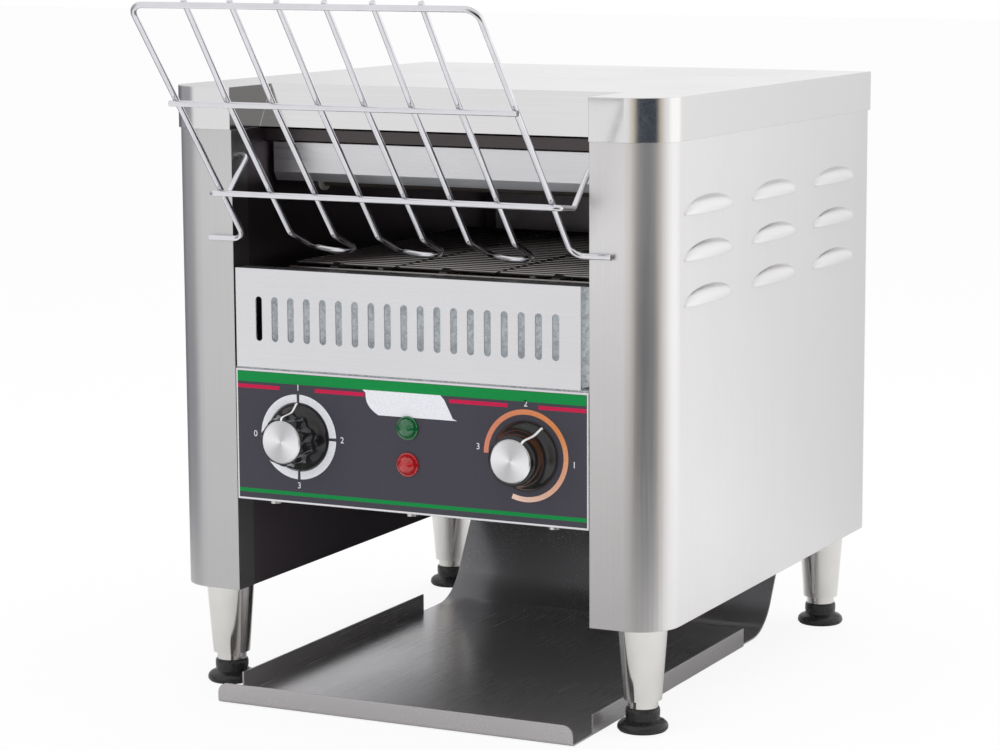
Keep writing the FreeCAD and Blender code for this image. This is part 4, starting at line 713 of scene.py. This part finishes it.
for name in FEET:
    low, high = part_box(name)
    x, y = (low[0] + high[0]) / 2, (low[1] + high[1]) / 2
    profile = FOOT_PROFILE + [(STUD_RADIUS, high[2] / MM)]
    verts = []
    for r, h in profile:
        for i in range(TURNED_SEGMENTS):
            a = 2 * math.pi * i / TURNED_SEGMENTS
            verts.append((x + r * MM * math.cos(a), y + r * MM * math.sin(a), h * MM + low[2]))
    faces = ring_faces(len(profile), TURNED_SEGMENTS)
    body = name.replace("_foot", "_levelling_foot")
    piece = mesh_piece(name + "_rubber", verts, faces, M["rubber"], body)
    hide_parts(name)


# Floor and world. Each zone is a direction, where it starts and is full, as the cosine of the angle from
# the direction, and its colour. They are the dark and bright parts of the studio as the metal reflects it.

ZONES = (
    ((0.62, -0.78, 0.0), 0.62, 0.84, (0.62, 0.56, 0.48, 1)),
    ((0.62, -0.78, 0.0), 0.80, 0.95, (0.02, 0.03, 0.05, 1)),
    ((0.87, 0.5, 0.0), 0.88, 0.99, (1.2, 1.2, 1.2, 1)),
    ((-0.87, 0.5, 0.0), 0.82, 0.95, (0.16, 0.16, 0.19, 1)),
    ((-0.97, -0.2, 0.05), 0.84, 0.97, (0.34, 0.34, 0.37, 1)),
)
SKY_ZONES = (
    ((0.3, 0.95, 0.25), 0.75, 0.97, (1.15, 1.15, 1.16, 1)),
    ((-0.05, 0.85, 0.5), 0.90, 0.985, (0.35, 0.36, 0.40, 1)),
    *ZONES,
)
SKY_DARKEST = 0.52
FLOOR_SIZE = 14
FLOOR_LEVEL = -0.0002
FLOOR_COLOR = (0.93, 0.93, 0.93, 1)
FLOOR_WHITE_SHARE = 0.9
ZONES_FROM = 0.45
ZONES_FULL = 0.8


def zone(tree, vector, direction, start, end):
    """How far a vector points along a direction, from 0 to 1."""
    along = Vector(direction).normalized()
    made = node(tree, "ShaderNodeMapRange", From_Min=start, From_Max=end)
    made.interpolation_type = "SMOOTHSTEP"
    join(tree, vector_math(tree, "DOT_PRODUCT", vector, along)["Value"], made.inputs["Value"])
    return made.outputs["Result"]


def over(below, factor, color):
    """A glow laid over the surface so far."""
    glow = node(tree, "ShaderNodeEmission", Color=color, Strength=1.0)
    mix = tree.nodes.new("ShaderNodeMixShader")
    join(tree, factor, mix.inputs[0])
    join(tree, below, mix.inputs[1])
    join(tree, glow.outputs[0], mix.inputs[2])
    return mix.outputs[0]


# The floor is white to the camera but keeps the shadow. Away from the object, metal sees the zones on it.
mesh = bpy.data.meshes.new("floor")
corners = ((-1, -1), (1, -1), (1, 1), (-1, 1))
mesh.from_pydata([(x * FLOOR_SIZE, y * FLOOR_SIZE, FLOOR_LEVEL) for x, y in corners], [], [(0, 1, 2, 3)])
floor = add_object("floor", mesh)
material, tree, shader = new_material("floor_white")
tree.nodes.remove(shader)
path = tree.nodes.new("ShaderNodeLightPath")
surface = node(tree, "ShaderNodeBsdfDiffuse", Color=FLOOR_COLOR).outputs[0]
place = position(tree)
heading = vector_math(tree, "NORMALIZE", place)[0]
away = ramp(tree, vector_math(tree, "LENGTH", place)["Value"], ZONES_FROM, ZONES_FULL)
seen_in_metal = calculate(tree, "MULTIPLY", away, path.outputs["Is Glossy Ray"])
seen_directly = calculate(tree, "MULTIPLY", path.outputs["Is Camera Ray"], FLOOR_WHITE_SHARE)
surface = over(surface, seen_directly, WHITE)
surface = over(surface, seen_in_metal, STUDIO)
for direction, start, end, color in ZONES:
    inside = zone(tree, heading, direction, start, end)
    surface = over(surface, calculate(tree, "MULTIPLY", inside, seen_in_metal), color)
join(tree, surface, tree.nodes["Material Output"].inputs["Surface"])
paint(floor, material)

# The world has the same zones in softer colours, and is white to the camera
world = bpy.data.worlds.new("studio")
bpy.context.scene.world = world
world.use_nodes = True
tree = world.node_tree
around = tree.nodes.new("ShaderNodeTexCoord").outputs["Generated"]
sky = STUDIO
for direction, start, end, color in SKY_ZONES:
    soft = tuple(max(c, SKY_DARKEST) for c in color[:3]) + (1,)
    sky = blend_colors(tree, zone(tree, around, direction, start, end), sky, soft)
path = tree.nodes.new("ShaderNodeLightPath")
sky = blend_colors(tree, path.outputs["Is Camera Ray"], sky, WHITE)
join(tree, sky, tree.nodes["Background"].inputs["Color"])
tree.nodes["Background"].inputs["Strength"].default_value = 1.0


# Lights, soft and not mirrored in the metal

def area(name, at, target, size, power):
    light = bpy.data.lights.new(name, "AREA")
    light.shape = "RECTANGLE"
    light.size, light.size_y = size
    light.energy = power
    made = add_object(name, light)
    made.location = at
    made.rotation_euler = (Vector(target) - Vector(at)).to_track_quat("-Z", "Y").to_euler()
    made.visible_glossy = False


area("key", at=(-1.3, -1.9, 1.7), target=(0, 0, 0.2), size=(1.2, 1.2), power=5)
area("top", at=(0.2, 0.2, 2.2), target=(0, 0, 0.3), size=(1.6, 1.6), power=14)
